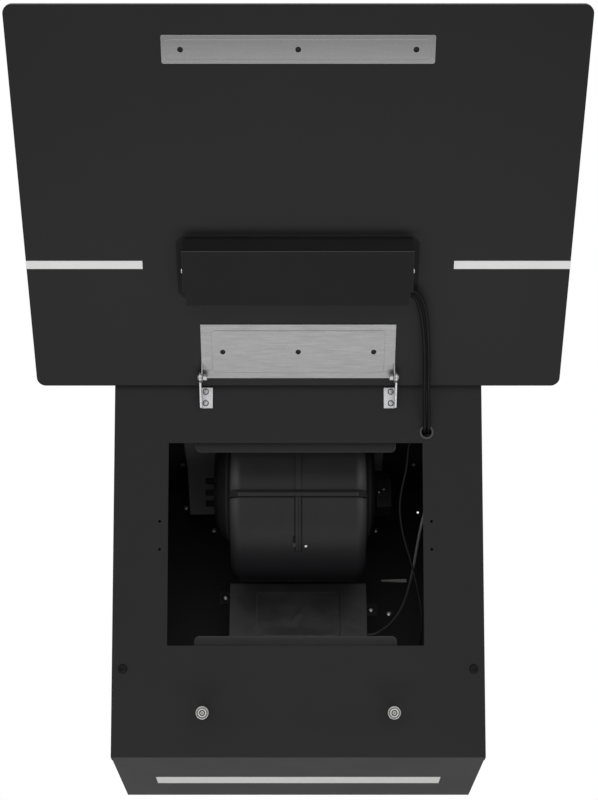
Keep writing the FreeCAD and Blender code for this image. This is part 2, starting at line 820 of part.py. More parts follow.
def housing_half(way):
    """way is 1 for the upper half, which carries the throat, and -1 for the lower one."""
    drum_start = (f"-{HOUSING_END}", "0", "0")
    drum = rounded_rod(drum_start, "housing_radius", "housing_width", size["housing_edge"])
    rib = rod("x", ("-rib_width / 2", "0", "0"), "housing_radius + rib_height", "rib_width")
    reach = "housing_radius + seam_flange"
    flange_low, flange_high = ("0", "seam_thickness") if way > 0 else ("-seam_thickness", "0")
    flange = block(
        (f"-{HOUSING_END} + seam_inset", f"-({reach})", flange_low),
        (f"{HOUSING_END} - seam_inset", reach, flange_high),
    )
    half_depth = "2 * housing_radius"
    low, high = ("0", half_depth) if way > 0 else (f"-({half_depth})", "0")
    keep = block((f"-({half_depth})", f"-({half_depth})", low), (half_depth, half_depth, high))
    if way > 0:
        ribs = [rib]
    else:
        band = block((f"-({half_depth})", f"-({half_depth})", "-rib_drop"), (half_depth, "0", "0"))
        ribs = [overlap(rib, placed(SEAM, band))]
    whole = [drum, placed(SEAM, flange)] + ribs
    if way > 0:
        throat = block(
            ("-throat_across / 2", "-throat_depth / 2", "0"),
            ("throat_across / 2", "throat_depth / 2", BLOWER_TO_TOP),
        )
        lug_low, lug_high = "mount_lug_up - mount_lug / 2", "mount_lug_up + mount_lug / 2"
        lugs = [
            block((f"{x} * mount_lug_across / 2 - mount_lug / 2", "0", lug_low),
                  (f"{x} * mount_lug_across / 2 + mount_lug / 2", "housing_radius", lug_high))
            for x in (-1, 1)
        ]
        whole += [throat] + lugs
    inner_start = (f"-{HOUSING_END} + housing_wall", "0", "0")
    space = [
        rounded_rod(inner_start, "housing_radius - housing_wall", INNER_WIDTH, inner_edge),
        rod("x", ("-housing_width", "0", "fan_rise"), "inlet_radius", "2 * housing_width"),
    ]
    if way > 0:
        space.append(block(
            ("-throat_across / 2 + housing_wall", "-throat_depth / 2 + housing_wall", "0"),
            ("throat_across / 2 - housing_wall", "throat_depth / 2 - housing_wall", f"2 * {BLOWER_TO_TOP}"),
        ))
    return overlap(cut(join(*whole), *space), placed(SEAM, keep))


node("blower_upper_housing", BLOWER, housing_half(1))
node("blower_lower_housing", BLOWER, housing_half(-1))

# Spring clips that hold the two seam flanges together, at both ends of the front seam.
housing_clips = []
for side in (-1, 1):
    low, high = span(side, f"{HOUSING_END} - seam_inset - clip_length", f"{HOUSING_END} - seam_inset")
    front = "-(housing_radius + seam_flange + clip_wall)"
    rear = "-(housing_radius + rib_height)"
    clamp = block(
        (low, front, "-seam_thickness - clip_wall"), (high, rear, "seam_thickness + clip_wall"),
    )
    mouth = block(
        (low, "-(housing_radius + seam_flange + clip_fit)", "-seam_thickness - clip_fit"),
        (high, "0", "seam_thickness + clip_fit"),
    )
    housing_clips.append(cut(clamp, mouth))
node("housing_clips", BLOWER * SEAM, *housing_clips)

screw_seat = ("housing_screw_across", "0", "housing_radius")
housing_screw = rod("z", screw_seat, "pan_head_radius", "pan_head_height")
node("housing_screw", BLOWER * turned(90 + size["housing_screw_turn"]), housing_screw)


# Inlet bells on both ends of the housing, each a dish of two cones with an open mouth.
def bell_shape(side, inset):
    radii = [f"{name} - {inset}" for name in ("bell_radius", "bell_shoulder", "bell_mouth")]
    hand = "left" if side < 0 else "right"
    flare_end = f"{HOUSING_END} + {hand}_bell_flare"
    ends = [HOUSING_END, flare_end, f"{flare_end} + {hand}_bell_nose"]
    if side < 0:
        ends = [f"-({end})" for end in ends]
    cones = []
    for n in (0, 1):
        low, high = (n, n + 1) if side > 0 else (n + 1, n)
        length = f"({ends[high]}) - ({ends[low]})"
        cones.append(cone("x", (ends[low], "0", "0"), radii[low], radii[high], length))
    return join(*cones)


def mouth_prong(step):
    """A prong that stands out from the rim of the left mouth."""
    mouth_end = f"({HOUSING_END} + left_bell_flare + left_bell_nose)"
    prong = block(
        (f"-{mouth_end} - prong_length", "-prong_width / 2", "bell_mouth - prong_thickness / 2"),
        (f"-{mouth_end} + bell_wall / 2", "prong_width / 2", "bell_mouth + prong_thickness / 2"),
    )
    return placed(turned(size["prong_turn"] + step * size["prong_step"]), prong)


left_bell = cut(bell_shape(-1, "0"), bell_shape(-1, "bell_wall"))
node("left_inlet_bell", FAN, join(left_bell, *[mouth_prong(step) for step in (0, 1, 2)]))
node("right_inlet_bell", FAN, cut(bell_shape(1, "0"), bell_shape(1, "bell_wall")))

# Mount plate that hangs the blower from the top panel.
MOUNT_FRONT = "(blower_from_wall - housing_radius)"
mount_plate = prism("XZ_Plane", [
    ("-mount_plate_left", "sheet"),
    ("mount_plate_right", "sheet"),
    ("mount_plate_right", "sheet + mount_plate_drop"),
    ("-mount_plate_foot", "sheet + mount_plate_drop"),
], f"-{MOUNT_FRONT}", "mount_plate_sheet")
FOLD_BACK = f"{MOUNT_FRONT} - mount_plate_sheet"
FOLD_FRONT = f"{MOUNT_FRONT} + mount_fold_depth"
left_fold = block(
    ("-mount_plate_left", FOLD_BACK, "sheet"),
    ("-mount_plate_left + mount_fold_width", FOLD_FRONT, "sheet + mount_plate_sheet"),
)
right_fold = block(
    ("mount_plate_right - mount_fold_right", FOLD_BACK, "sheet"),
    ("mount_plate_right", FOLD_FRONT, "sheet + mount_plate_sheet"),
)
node("blower_mount", CEILING, join(mount_plate, left_fold, right_fold))


# Fan wheel: a hub disc with a ring of blades and a rim at each end.
def fan_wheel():
    body = doc.addObject("PartDesign::Body", "Wheel")

    def disc(radius, length):
        sketch = sketch_on(body, "YZ_Plane", "0")
        draw_circle(sketch, radius)
        pad(body, sketch, length, middle=True)

    disc("wheel_radius - wheel_ring", "wheel_disc")
    disc("wheel_hub_radius", "wheel_hub_length")
    sketch = sketch_on(body, "YZ_Plane", "0")
    draw_polygon(sketch, [
        ("wheel_inner", "-blade_lead - blade / 2"),
        ("wheel_radius - wheel_ring", "-blade / 2"),
        ("wheel_radius - wheel_ring", "blade / 2"),
        ("wheel_inner", "-blade_lead + blade / 2"),
    ])
    blade = pad(body, sketch, "wheel_width", middle=True)
    doc.recompute()
    ring = body.newObject("PartDesign::PolarPattern", "Blades")
    ring.Originals = [blade]
    axis = [feature for feature in body.Origin.OriginFeatures if feature.Role == "X_Axis"]
    ring.Axis = (axis[0], [""])
    ring.Angle = 360
    bind(ring, "Occurrences", "blade_count")
    body.Tip = ring
    doc.recompute()
    for side in (-1, 1):
        sketch = sketch_on(body, "YZ_Plane", f"{side} * (wheel_width / 2 - wheel_ring / 2)")
        draw_circle(sketch, "wheel_radius")
        draw_circle(sketch, "wheel_inner - blade")
        pad(body, sketch, "wheel_ring", middle=True)
    doc.recompute()
    return body


shaft_bore = rod("x", ("-wheel_hub_length", "0", "0"), "shaft_radius", "2 * wheel_hub_length")
node("fan_wheel", FAN, cut(fan_wheel(), shaft_bore))

SHAFT_END = "(motor_start + shaft_bearing)"
shaft_start = ("-wheel_hub_length / 2", "0", "0")
node("motor_shaft", FAN, rod("x", shaft_start, "shaft_radius", f"wheel_hub_length / 2 + {SHAFT_END}"))

# Motor: a can with an end cap, a bore for the shaft, a spider bracket, a terminal block and its pins.
can = rod("x", ("motor_start", "0", "0"), "motor_radius", "motor_end - motor_start")
cap = rod("x", ("motor_end", "0", "0"), "motor_cap_radius", "motor_cap_length")
bearing_depth = "shaft_bearing + shaft_clearance"
bearing = rod("x", ("motor_start", "0", "0"), "shaft_radius + shaft_clearance", bearing_depth)
node("motor", FAN, cut(join(can, cap), bearing))


def motor_bracket():
    start = (HOUSING_END, "0", "0")
    ring = rod("x", start, "inlet_radius + bracket_ring", "bracket_plate")
    ring_space = rod("x", start, "inlet_radius - bracket_ring / 2", "bracket_plate")
    arms = []
    for step in range(int(size["bracket_arms"])):
        arm = block(
            (HOUSING_END, "-bracket_arm / 2", "0"),
            (f"{HOUSING_END} + bracket_plate", "bracket_arm / 2", "inlet_radius"),
        )
        arms.append(placed(turned(step * 360 / size["bracket_arms"]), arm))
    motor_space = rod("x", start, "motor_radius + motor_fit", "bracket_plate")
    return cut(join(cut(ring, ring_space), *arms), motor_space)


node("motor_bracket", FAN, motor_bracket())

TERMINAL_FRONT = "(motor_cap_radius + terminal_depth)"
TERMINAL_END = "(motor_end + motor_cap_length)"
terminal = block(
    (f"{TERMINAL_END} - terminal_length", f"-{TERMINAL_FRONT}", "-terminal_drop - terminal_height / 2"),
    (TERMINAL_END, "0", "-terminal_drop + terminal_height / 2"),
)
cap_space = rod("x", ("0", "0", "0"), "motor_cap_radius", "2 * motor_end")
node("terminal_block", FAN, cut(terminal, cap_space))
terminal_pins = []
for step in (-1, 1):
    across = f"{TERMINAL_END} - terminal_length * 2 / 3 + {step} * pin_pitch / 2"
    up = f"-terminal_drop + {step} * pin_pitch / 3"
    pin_start = (across, f"-{TERMINAL_FRONT} - pin_length", up)
    terminal_pins.append(rod("y", pin_start, "pin_radius", "pin_length"))
node("terminal_pins", FAN, *terminal_pins)

# Electronics box on the back panel: tray with screw lugs, lid with a raised field, board and capacitor.
TRAY_TOP = "(electronics_low + electronics_tall)"
TRAY_FRONT = "(sheet + electronics_deep)"
half_tray = "electronics_width / 2"
tray = block((f"-{half_tray}", "electronics_low", "sheet"), (half_tray, TRAY_TOP, TRAY_FRONT))
tray_space = block(
    (f"-{half_tray} + electronics_wall", "electronics_low + electronics_wall", "sheet + electronics_wall"),
    (f"{half_tray} - electronics_wall", f"{TRAY_TOP} - electronics_wall", f"2 * {TRAY_FRONT}"),
)
LUG_FACE = "(sheet + electronics_wall)"
tray_lugs = []
for side, up in ((-1, "left_lug_up"), (1, "right_lug_up")):
    low, high = span(side, half_tray, f"{half_tray} + lug_width")
    lug = block((low, f"{up} - lug_height / 2", "sheet"), (high, f"{up} + lug_height / 2", LUG_FACE))
    tray_lugs.append(lug)
lug_holes = [hole(x, y, "0", PAN_HOLE, f"2 * {LUG_FACE}") for x, y in LUG_SCREWS]
node("electronics_tray", WALL, cut(join(cut(tray, tray_space), *tray_lugs), *lug_holes))

LID_FRONT = f"({TRAY_FRONT} + electronics_wall)"
lid = block((f"-{half_tray}", "electronics_low", TRAY_FRONT), (half_tray, TRAY_TOP, LID_FRONT))
FIELD_LOW = "(electronics_low + lid_emboss_low)"
lid_field = rounded_block(
    ("-lid_emboss_width / 2", FIELD_LOW, LID_FRONT),
    ("lid_emboss_width / 2", f"{FIELD_LOW} + lid_emboss_tall", f"{LID_FRONT} + lid_emboss"),
    "emboss_corner",
)
node("electronics_lid", WALL, join(lid, lid_field))

BOARD_FRONT = "(sheet + electronics_wall + board)"
power_board = block(
    (f"-{half_tray} + board_margin", "electronics_low + board_margin", "sheet + electronics_wall"),
    (f"{half_tray} - board_margin", f"{TRAY_TOP} - board_margin", BOARD_FRONT),
)
node("power_board", WALL, power_board)
tray_middle = "electronics_low + electronics_tall / 2"
capacitor_start = ("-capacitor_length / 2", tray_middle, f"{BOARD_FRONT} + capacitor_radius")
node("run_capacitor", WALL, rod("x", capacitor_start, "capacitor_radius", "capacitor_length"))

# Screws that end flush with the outside of the casing.
node("lug_screws", WALL, *[pan_screw((x, y, LUG_FACE), LUG_FACE) for x, y in LUG_SCREWS])
node("back_screws", WALL, *[pan_screw((x, y, "sheet"), "sheet") for x, y in BACK_SCREWS])
node("top_screws", CEILING, *[pan_screw((x, y, "sheet"), "sheet") for x, y in TOP_SCREWS])

# Pale strap that clips the leads to the back panel, wide at the right end.
strap = prism("XY_Plane", [
    ("strap_start", "strap_up - strap_narrow / 2"),
    ("strap_start + strap_length", "strap_up - strap_wide / 2"),
    ("strap_start + strap_length", "strap_up + strap_wide / 2"),
    ("strap_start", "strap_up + strap_narrow / 2"),
], "sheet", "strap_thickness")
node("cable_strap", WALL, strap)

# Outlet collar with a seat for the two damper flaps, which hang on one pin.
collar_inner = "(collar_radius - collar_wall)"
PIN_UP = "(collar_plate + damper_up)"
collar_flange = rod("z", ("0", "0", "0"), "collar_radius + collar_flange", "collar_plate")
collar_tube = rod("z", ("0", "0", "0"), "collar_radius", "collar_height")
collar_bore = rod("z", ("0", "0", "-collar_plate"), collar_inner, "collar_height + 2 * collar_plate")
SEAT_TOP = f"({PIN_UP} - flap_drop - flap_sheet - seat_gap)"
seat_start = ("0", "0", f"{SEAT_TOP} - seat_height")
seat = rod("z", seat_start, "collar_radius - collar_wall / 2", "seat_height")
seat_space = rod("z", seat_start, f"{collar_inner} - seat_width", "seat_height")
PIN_START = ("-collar_radius", "0", PIN_UP)
pin_hole = rod("x", PIN_START, PIN_HOLE, "2 * collar_radius")
COLLAR_SCREWS = []
for step in range(int(size["collar_screws"])):
    turn = f"({step} + 0.5) * 360 deg / collar_screws"
    COLLAR_SCREWS.append((f"collar_screw_ring * cos({turn})", f"collar_screw_ring * sin({turn})"))
collar_holes = [hole(x, y, "-collar_plate", PAN_HOLE, "3 * collar_plate") for x, y in COLLAR_SCREWS]
collar = join(cut(join(collar_flange, collar_tube), collar_bore), cut(seat, seat_space))
node("outlet_collar", COLLAR, cut(collar, pin_hole, *collar_holes))
collar_screws = [
    rod("z", (x, y, "collar_plate"), "pan_head_radius", "pan_head_height") for x, y in COLLAR_SCREWS
]
node("collar_screws", COLLAR, *collar_screws)
node("damper_pin", COLLAR, rod("x", PIN_START, "damper_pin_radius", "2 * collar_radius"))


def damper_flap(way):
    """Half a disc below the pin, with two knuckles round it; way is -1 for the front, 1 for the rear."""
    low = f"{PIN_UP} - flap_drop - flap_sheet"
    disc = rod("z", ("0", "0", low), f"{collar_inner} - damper_gap", "flap_sheet")
    y_low, y_high = span(way, "damper_gap / 2", "collar_radius")
    keep = block(("-collar_radius", y_low, "0"), ("collar_radius", y_high, "2 * collar_height"))
    half = overlap(disc, keep)
    knuckles = []
    notches = []
    for side in (-1, 1):
        own = f"{side} * (2 + {way}) * knuckle_step - knuckle_length / 2"
        other = f"{side} * (2 - {way}) * knuckle_step - knuckle_length / 2"
        knuckles.append(rod("x", (own, "0", PIN_UP), "knuckle_radius", "knuckle_length"))
        notches.append(block(
            (f"{other} - damper_gap", "-knuckle_radius - damper_gap", low),
            (f"{other} + knuckle_length + damper_gap", "knuckle_radius + damper_gap", PIN_UP),
        ))
    bore = rod("x", PIN_START, PIN_HOLE, "2 * collar_radius")
    return cut(join(cut(half, *notches), *knuckles), bore)


node("front_damper_flap", COLLAR, damper_flap(-1))
node("rear_damper_flap", COLLAR, damper_flap(1))

# Glass front and what is fixed to its inner face.
glass = rounded_block(
    ("-glass_width / 2", "-glass_below_pivot", "-glass_thickness"),
    ("glass_width / 2", "glass_above_pivot", "0"),
    "glass_corner",
)
node("glass_panel", PANEL, glass)

for name, side in (("left_trim_strip", -1), ("right_trim_strip", 1)):
    low, high = span(side, "strip_inner", "glass_width / 2")
    strip = block((low, "strip_low", "0"), (high, "strip_low + strip_width", "strip_thickness"))
    node(name, PANEL, strip)


def plate_holes(across, up):
    return [
        hole(f"{step} * {across} / 2", up, "-plate_sheet", "plate_hole_radius", "4 * plate_sheet")
        for step in (-1, 0, 1)
    ]


EMBOSS_TOP = "(plate_sheet + emboss)"
strike_low, strike_high = "strike_up - strike_width / 2", "strike_up + strike_width / 2"
strike_sheet = rounded_block(
    ("-strike_length / 2", strike_low, "0"), ("strike_length / 2", strike_high, "plate_sheet"),
    "strike_corner",
)
strike_field = rounded_block(
    ("-strike_length / 2 + strike_rim", f"{strike_low} + strike_rim", "plate_sheet"),
    ("strike_length / 2 - strike_rim", f"{strike_high} - strike_rim", EMBOSS_TOP),
    "emboss_corner",
)
strike_holes = plate_holes("strike_hole_across", "strike_up")
node("strike_plate", PANEL, cut(join(strike_sheet, strike_field), *strike_holes))


# Hinge plate: a flat sheet with a raised field and a folded lug with an eye at each end.
def hinge_plate():
    half = "hinge_length / 2"
    flat = block((f"-{half}", "hinge_plate_low", "0"), (half, "hinge_plate_high", "plate_sheet"))
    field = rounded_block(
        (f"-{half} + hinge_emboss_inset", "hinge_plate_low + hinge_emboss_rim", "plate_sheet"),
        (f"{half} - hinge_emboss_inset", "hinge_plate_high - hinge_emboss_rim", EMBOSS_TOP),
        "emboss_corner",
    )
    lugs = []
    bores = []
    for side in (-1, 1):
        low, high = span(side, LUG_INNER, half)
        outline = [
            ("hinge_plate_low", "0"),
            ("lug_run", "0"),
            ("0", "pivot_off_glass + eye_radius"),
            ("-eye_radius", "pivot_off_glass"),
        ]
        lugs.append(prism("YZ_Plane", outline, low, "plate_sheet"))
        lugs.append(rod("x", (low, "0", "pivot_off_glass"), "eye_radius", "plate_sheet"))
        bores.append(rod("x", (low, "0", "pivot_off_glass"), PIVOT_HOLE, "plate_sheet"))
    return cut(join(flat, field, *lugs), *bores, *plate_holes("hinge_hole_across", "hinge_hole_up"))


node("hinge_plate", PANEL, hinge_plate())

# Control box: a tray with chamfered corners and two ears, a folded cover, its screws and the touch board.
TRAY_LEFT = "(control_shift - tray_length / 2)"
TRAY_RIGHT = "(control_shift + tray_length / 2)"
COVER_LEFT = "(control_shift - cover_length / 2)"
COVER_RIGHT = "(control_shift + cover_length / 2)"
tray_outline = [
    (f"{TRAY_LEFT} + tray_chamfer", "tray_low"),
    (f"{TRAY_RIGHT} - tray_chamfer", "tray_low"),
    (TRAY_RIGHT, "tray_low + tray_chamfer"),
    (TRAY_RIGHT, "tray_high - tray_chamfer"),
    (f"{TRAY_RIGHT} - tray_chamfer", "tray_high"),
    (f"{TRAY_LEFT} + tray_chamfer", "tray_high"),
    (TRAY_LEFT, "tray_high - tray_chamfer"),
    (TRAY_LEFT, "tray_low + tray_chamfer"),
]
tray_sheet = prism("XY_Plane", tray_outline, "0", "sheet")


def on_end(side, inner, outer):
    """Start and length of a stretch at the right (1) or left (-1) end, measured from the box's middle."""
    low, high = span(side, inner, outer)
    return f"control_shift + ({low})", f"({high}) - ({low})"


HALF_COVER = "(cover_length / 2)"
SCREW_LINE = ("cover_screw_up", "cover_screw_height")
ears = []
end_holes = []
cover_screws = []
for side in (-1, 1):
    start, length = on_end(side, f"{HALF_COVER} - 2 * sheet", f"{HALF_COVER} - sheet")
    ears.append(block(
        (start, "cover_screw_up - tray_ear / 2", "0"),
        (f"{start} + {length}", "cover_screw_up + tray_ear / 2", "tray_ear_height"),
    ))
    start, length = on_end(side, f"{HALF_COVER} - shank_length", f"{HALF_COVER} + shank_length")
    end_holes.append(rod("x", (start, *SCREW_LINE), PAN_HOLE, length))
    start, length = on_end(side, HALF_COVER, f"{HALF_COVER} + pan_head_height")
    head = rod("x", (start, *SCREW_LINE), "pan_head_radius", length)
    start, length = on_end(side, f"{HALF_COVER} - shank_length", HALF_COVER)
    shank = rod("x", (start, *SCREW_LINE), "pan_shank_radius", length)
    cover_screws.append(join(head, shank))
node("control_tray", PANEL, cut(join(tray_sheet, *ears), *end_holes))


def cover_shape(inset):
    outline = [
        (f"cover_low + {inset}", "sheet"),
        (f"cover_high - {inset}", "sheet"),
        (f"cover_high - cover_slope - {inset}", f"cover_height - {inset}"),
        (f"cover_low + {inset}", f"cover_height - {inset}"),
    ]
    return prism("YZ_Plane", outline, f"{COVER_LEFT} + {inset}", f"cover_length - 2 * ({inset})")


notches = []
for low in (COVER_LEFT, f"{COVER_RIGHT} - cover_notch"):
    notches.append(block(
        (low, "cover_low", "0"), (f"{low} + cover_notch", "cover_low + cover_notch_run", "cover_height"),
    ))
node("control_cover", PANEL, cut(cover_shape("0"), cover_shape("sheet"), *notches, *end_holes))
node("cover_screws", PANEL, *cover_screws)

control_board = block(
    ("control_shift - board_length / 2", "cover_high - cover_slope - board_margin - board_width", "sheet"),
    ("control_shift + board_length / 2", "cover_high - cover_slope - board_margin", "sheet + board"),
)
plug = block(
    ("plug_face - plug_length", "plug_low", "sheet + board"),
    ("plug_face", "plug_low + plug_width", "sheet + board + plug_height"),
)
node("control_board", PANEL, join(control_board, plug))


# Cables: round tubes along straight runs joined by tangent arcs, which take this share of the shorter run.
BEND_SHARE = 0.45


def rounded_path(points):
    """Edges of the path, with the smallest bend radius."""
    edges = []
    smallest = math.inf
    start = points[0]
    for before, corner, after in zip(points, points[1:], points[2:]):
        arriving = corner - before
        leaving = after - corner
        turn = arriving.getAngle(leaving)
        reach = BEND_SHARE * min(arriving.Length, leaving.Length)
        radius = reach / math.tan(turn / 2)
        smallest = min(smallest, radius)
        arriving.normalize()
        leaving.normalize()
        first = corner - arriving * reach
        last = corner + leaving * reach
        inward = (leaving - arriving).normalize()
        middle = corner + inward * (radius / math.cos(turn / 2) - radius)
        edges.append(Part.LineSegment(start, first).toShape())
        edges.append(Part.Arc(first, middle, last).toShape())
        start = last
    edges.append(Part.LineSegment(start, points[-1]).toShape())
    return edges, smallest


def cable(label, radius, points):
    edges, smallest = rounded_path(points)
    path = Part.Wire(edges)
    ring = Part.Wire(Part.Circle(points[0], points[1] - points[0], size[radius]).toShape())
    item = doc.addObject("Part::Feature", "Cable")
    item.Shape = path.makePipeShell([ring], True, False)
    item.Placement = Placement()
    node(label, Placement(), item)
    expected = math.pi * size[radius] ** 2 * path.Length
    print(f"{label}: length {path.Length:.1f}, smallest bend radius {smallest:.1f}, "
          f"volume over section times length {item.Shape.Volume / expected:.4f}")


def at_box(*points):
    """Points on the glass: across from the plug face, along the glass, and off its inner face."""
    return [PANEL.multVec(Vector(size["plug_face"] + x, y, z)) for x, y, z in points]


def at_grommet(*points):
    """Points across and up from the grommet and off the fascia."""
    across, up = size["grommet_across"], size["grommet_up"]
    return [FASCIA.multVec(Vector(across + x, up + y, z)) for x, y, z in points]


def inside(*points):
    """Points across, from the wall and above the underside."""
    return [CASING.multVec(Vector(x, -y, z)) for x, y, z in points]


core = size["cable_radius"] + size["twin_gap"] / 2
cable("left_panel_cable", "cable_radius", at_box(
    (0, 104.5, 9), (10, 104.5, 9), (18, 99, 9.5), (22, 88, 10.5), (24.5, 76, 11), (27.6, 55.6, 12),
    (30.1, 23.6, 13),
) + at_grommet(
    (-4.0, 51.8, 24), (-3.5, 35.5, 17), (-2.9, 20, 12), (-2.4, 8.5, 8), (-core, 1.5, 2.5), (-core, 0, -4),
))
cable("right_panel_cable", "cable_radius", at_box(
    (0, 109.5, 9), (12, 109.5, 9), (22, 103, 9.5), (27.5, 91, 10.5), (30, 77, 11), (32.7, 53.1, 12),
    (34.4, 23.6, 13),
) + at_grommet(
    (0.8, 51.8, 24), (1.6, 35.5, 17), (1.9, 20, 12), (2.1, 8.5, 8), (core, 1.5, 2.5), (core, 0, -4),
))

channel_top = size["sheet"] + size["diffuser_lip_height"] + size["lamp_height"]
lamp_entry = size["lamp_from_wall"] + size["lamp_entry_behind"]
cable("lamp_lead", "lamp_lead_radius", at_grommet(
    (-core, 0, -4), (-core, -1.8, -11.8), (-10.5, -5.5, -20), (-18.3, -11, -26), (-19.4, -22, -28),
    (-20.7, -39, -28), (-26, -60, -28), (-29.6, -81, -29), (-28, -104, -30), (-23.4, -125, -31),
    (-17.7, -142, -32), (-13.2, -160, -32), (-9.3, -177, -32), (-6, -193, -31), (-3.6, -211, -31),
    (-5.1, -233, -33), (-8.6, -257, -40), (-11.6, -281, -52),
) + inside(
    (134, 146.4, 80.2), (134.5, 124.5, 63), (134, 104.5, 45.2), (134, 88.5, 31),
    (134, lamp_entry, channel_top + 7.2), (134, lamp_entry, channel_top),
))
tray_wall = size["electronics_width"] / 2
cable("power_lead", "power_lead_radius", at_grommet(
    (core, 0, -4), (core, -1.8, -11.8), (3.9, -11, -20), (5.4, -27, -26), (5.4, -53, -29), (2.4, -81, -34),
    (-4.8, -110.7, -45),
) + inside(
    (138.4, 192.3, 233.2), (134.8, 148.6, 218), (128.6, 105.8, 205.3), (118, 72.5, 197.4),
    (tray_wall + 19.8, 53.7, 193.4), (tray_wall + 11.5, 46, 191.2), (tray_wall + 5, 43, 190.5),
    (tray_wall, 43, 190.5),
))

# Every object has to be sound before its file is written.
doc.recompute()
faults = [item.Name for item in doc.Objects if {"Invalid", "Error"} & set(item.State)]
for label, item in nodes.items():
    shape = item.Shape
    if shape.isNull() or not shape.isValid() or not shape.Solids:
        faults.append(label)
if faults:
    raise RuntimeError("not sound: " + ", ".join(faults))
for label, item in nodes.items():
    solids = item.Shape.Solids
    whole = solids[0] if len(solids) == 1 else Part.makeCompound(solids)
    whole.exportStep(f"parts/{label}.step")
    print(f"{label}: {len(solids)} solid(s), {sum(solid.Volume for solid in solids):.0f} mm3")
print(len(nodes), "nodes")
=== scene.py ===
import json
import math

import bmesh
import bpy
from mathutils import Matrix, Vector, noise

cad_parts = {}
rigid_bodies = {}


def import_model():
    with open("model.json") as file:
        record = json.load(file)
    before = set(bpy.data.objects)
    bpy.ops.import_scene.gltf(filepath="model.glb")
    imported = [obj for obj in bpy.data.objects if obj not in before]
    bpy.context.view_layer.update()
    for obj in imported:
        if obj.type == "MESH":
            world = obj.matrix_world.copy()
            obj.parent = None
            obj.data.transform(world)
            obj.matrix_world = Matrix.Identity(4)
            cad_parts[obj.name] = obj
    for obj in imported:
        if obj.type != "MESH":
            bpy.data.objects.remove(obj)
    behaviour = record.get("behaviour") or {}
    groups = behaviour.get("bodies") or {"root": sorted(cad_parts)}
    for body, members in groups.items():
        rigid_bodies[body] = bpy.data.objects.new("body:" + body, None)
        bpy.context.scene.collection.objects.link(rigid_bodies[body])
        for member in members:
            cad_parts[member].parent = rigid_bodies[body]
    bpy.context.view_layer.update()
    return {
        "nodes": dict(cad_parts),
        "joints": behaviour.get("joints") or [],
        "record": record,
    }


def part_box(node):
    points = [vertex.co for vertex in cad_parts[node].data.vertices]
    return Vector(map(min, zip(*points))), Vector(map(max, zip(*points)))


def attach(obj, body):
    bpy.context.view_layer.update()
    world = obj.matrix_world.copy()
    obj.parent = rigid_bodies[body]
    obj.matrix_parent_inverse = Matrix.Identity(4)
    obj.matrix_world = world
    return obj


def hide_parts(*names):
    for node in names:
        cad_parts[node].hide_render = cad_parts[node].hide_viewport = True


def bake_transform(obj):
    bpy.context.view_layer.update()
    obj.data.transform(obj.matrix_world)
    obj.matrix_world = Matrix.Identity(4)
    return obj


for stray in list(bpy.data.objects):
    bpy.data.objects.remove(stray)
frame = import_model()


# Casing: folded 0.8 mm steel sheet, two sides, underside, back and top, screwed behind a sloping fascia.
# It is powder coated in satin black after folding, so every cut edge is coated and slightly rounded.
def linear(colour):
    """An sRGB hex colour as the linear colour that a socket takes."""
    parts = [int(colour[n:n + 2], 16) / 255 for n in (1, 3, 5)]
    return [c / 12.92 if c <= 0.04045 else ((c + 0.055) / 1.055) ** 2.4 for c in parts] + [1.0]


def give(tree, node, inputs):
    """Sets a node's inputs, by name or number; each takes a value, or another node's output to link."""
    for socket, value in inputs.items():
        if isinstance(value, bpy.types.NodeSocket):
            tree.links.new(value, node.inputs[socket])
        else:
            node.inputs[socket].default_value = value


def add(tree, kind, inputs=None, **settings):
    """Adds one node with its settings, values and links, and returns its outputs."""
    made = tree.nodes.new(kind)
    for name, value in settings.items():
        setattr(made, name, value)
    give(tree, made, inputs or {})
    return made.outputs


def surface(name):
    """A new material with its node tree, its shader and the place on the piece in metres."""
    material = bpy.data.materials.new(name)
    material.use_nodes = True
    tree = material.node_tree
    place = add(tree, "ShaderNodeTexCoord")["Object"]
    return material, tree, tree.nodes["Principled BSDF"], place


# A noise pattern lies mostly between these values, so they are stretched to run from 0 to 1.
noise_low, noise_high = 0.3, 0.7


def mottled(tree, place, first, second, *, size, detail=3.0):
    """Two colours in soft patches of a size in metres, with the pattern's own value."""
    patches = add(tree, "ShaderNodeTexNoise", {"Vector": place, "Scale": 1 / size, "Detail": detail})
    spread = add(tree, "ShaderNodeMapRange", {
        "Value": patches["Fac"], "From Min": noise_low, "From Max": noise_high,
    })["Result"]
    colours = add(tree, "ShaderNodeMix", {0: spread, 6: linear(first), 7: linear(second)}, data_type="RGBA")
    return colours[2], spread


def powder_coat(name, first, second, gloss=0.18, painted_highlight=None):
    """Satin coat: faint clouds 90 mm across, and orange peel of 1.5 mm, drawn at 3 mm so that it shows;
    where a highlight mask is given, a paler grey is mixed in there as a painted highlight.
    """
    cloud_size, peel_size, peel_depth = 0.09, 0.003, 0.0002
    highlight_grey = linear("#454546")
    material, tree, shader, place = surface(name)
    colour, clouds = mottled(tree, place, first, second, size=cloud_size)
    if painted_highlight:
        highlight_share = painted_highlight(tree, place)
        colour = add(tree, "ShaderNodeMix", {0: highlight_share, 6: colour, 7: highlight_grey}, data_type="RGBA")[2]
    peel = add(tree, "ShaderNodeTexNoise", {"Vector": place, "Scale": 1 / peel_size, "Detail": 2.0})
    rough = add(tree, "ShaderNodeMapRange", {"Value": clouds, "To Min": 0.52, "To Max": 0.6})
    bump = add(tree, "ShaderNodeBump", {"Height": peel["Fac"], "Strength": 0.12, "Distance": peel_depth})
    give(tree, shader, {
        "Base Color": colour, "Roughness": rough["Result"], "Normal": bump["Normal"],
        "Specular IOR Level": gloss,
    })
    return material


body_of = {node: body for body, nodes in frame["record"]["behaviour"]["bodies"].items() for node in nodes}


def in_scene(name, data):
    """A new object in the scene for a mesh, curve, light or camera."""
    thing = bpy.data.objects.new(name, data)
    bpy.context.scene.collection.objects.link(thing)
    return thing


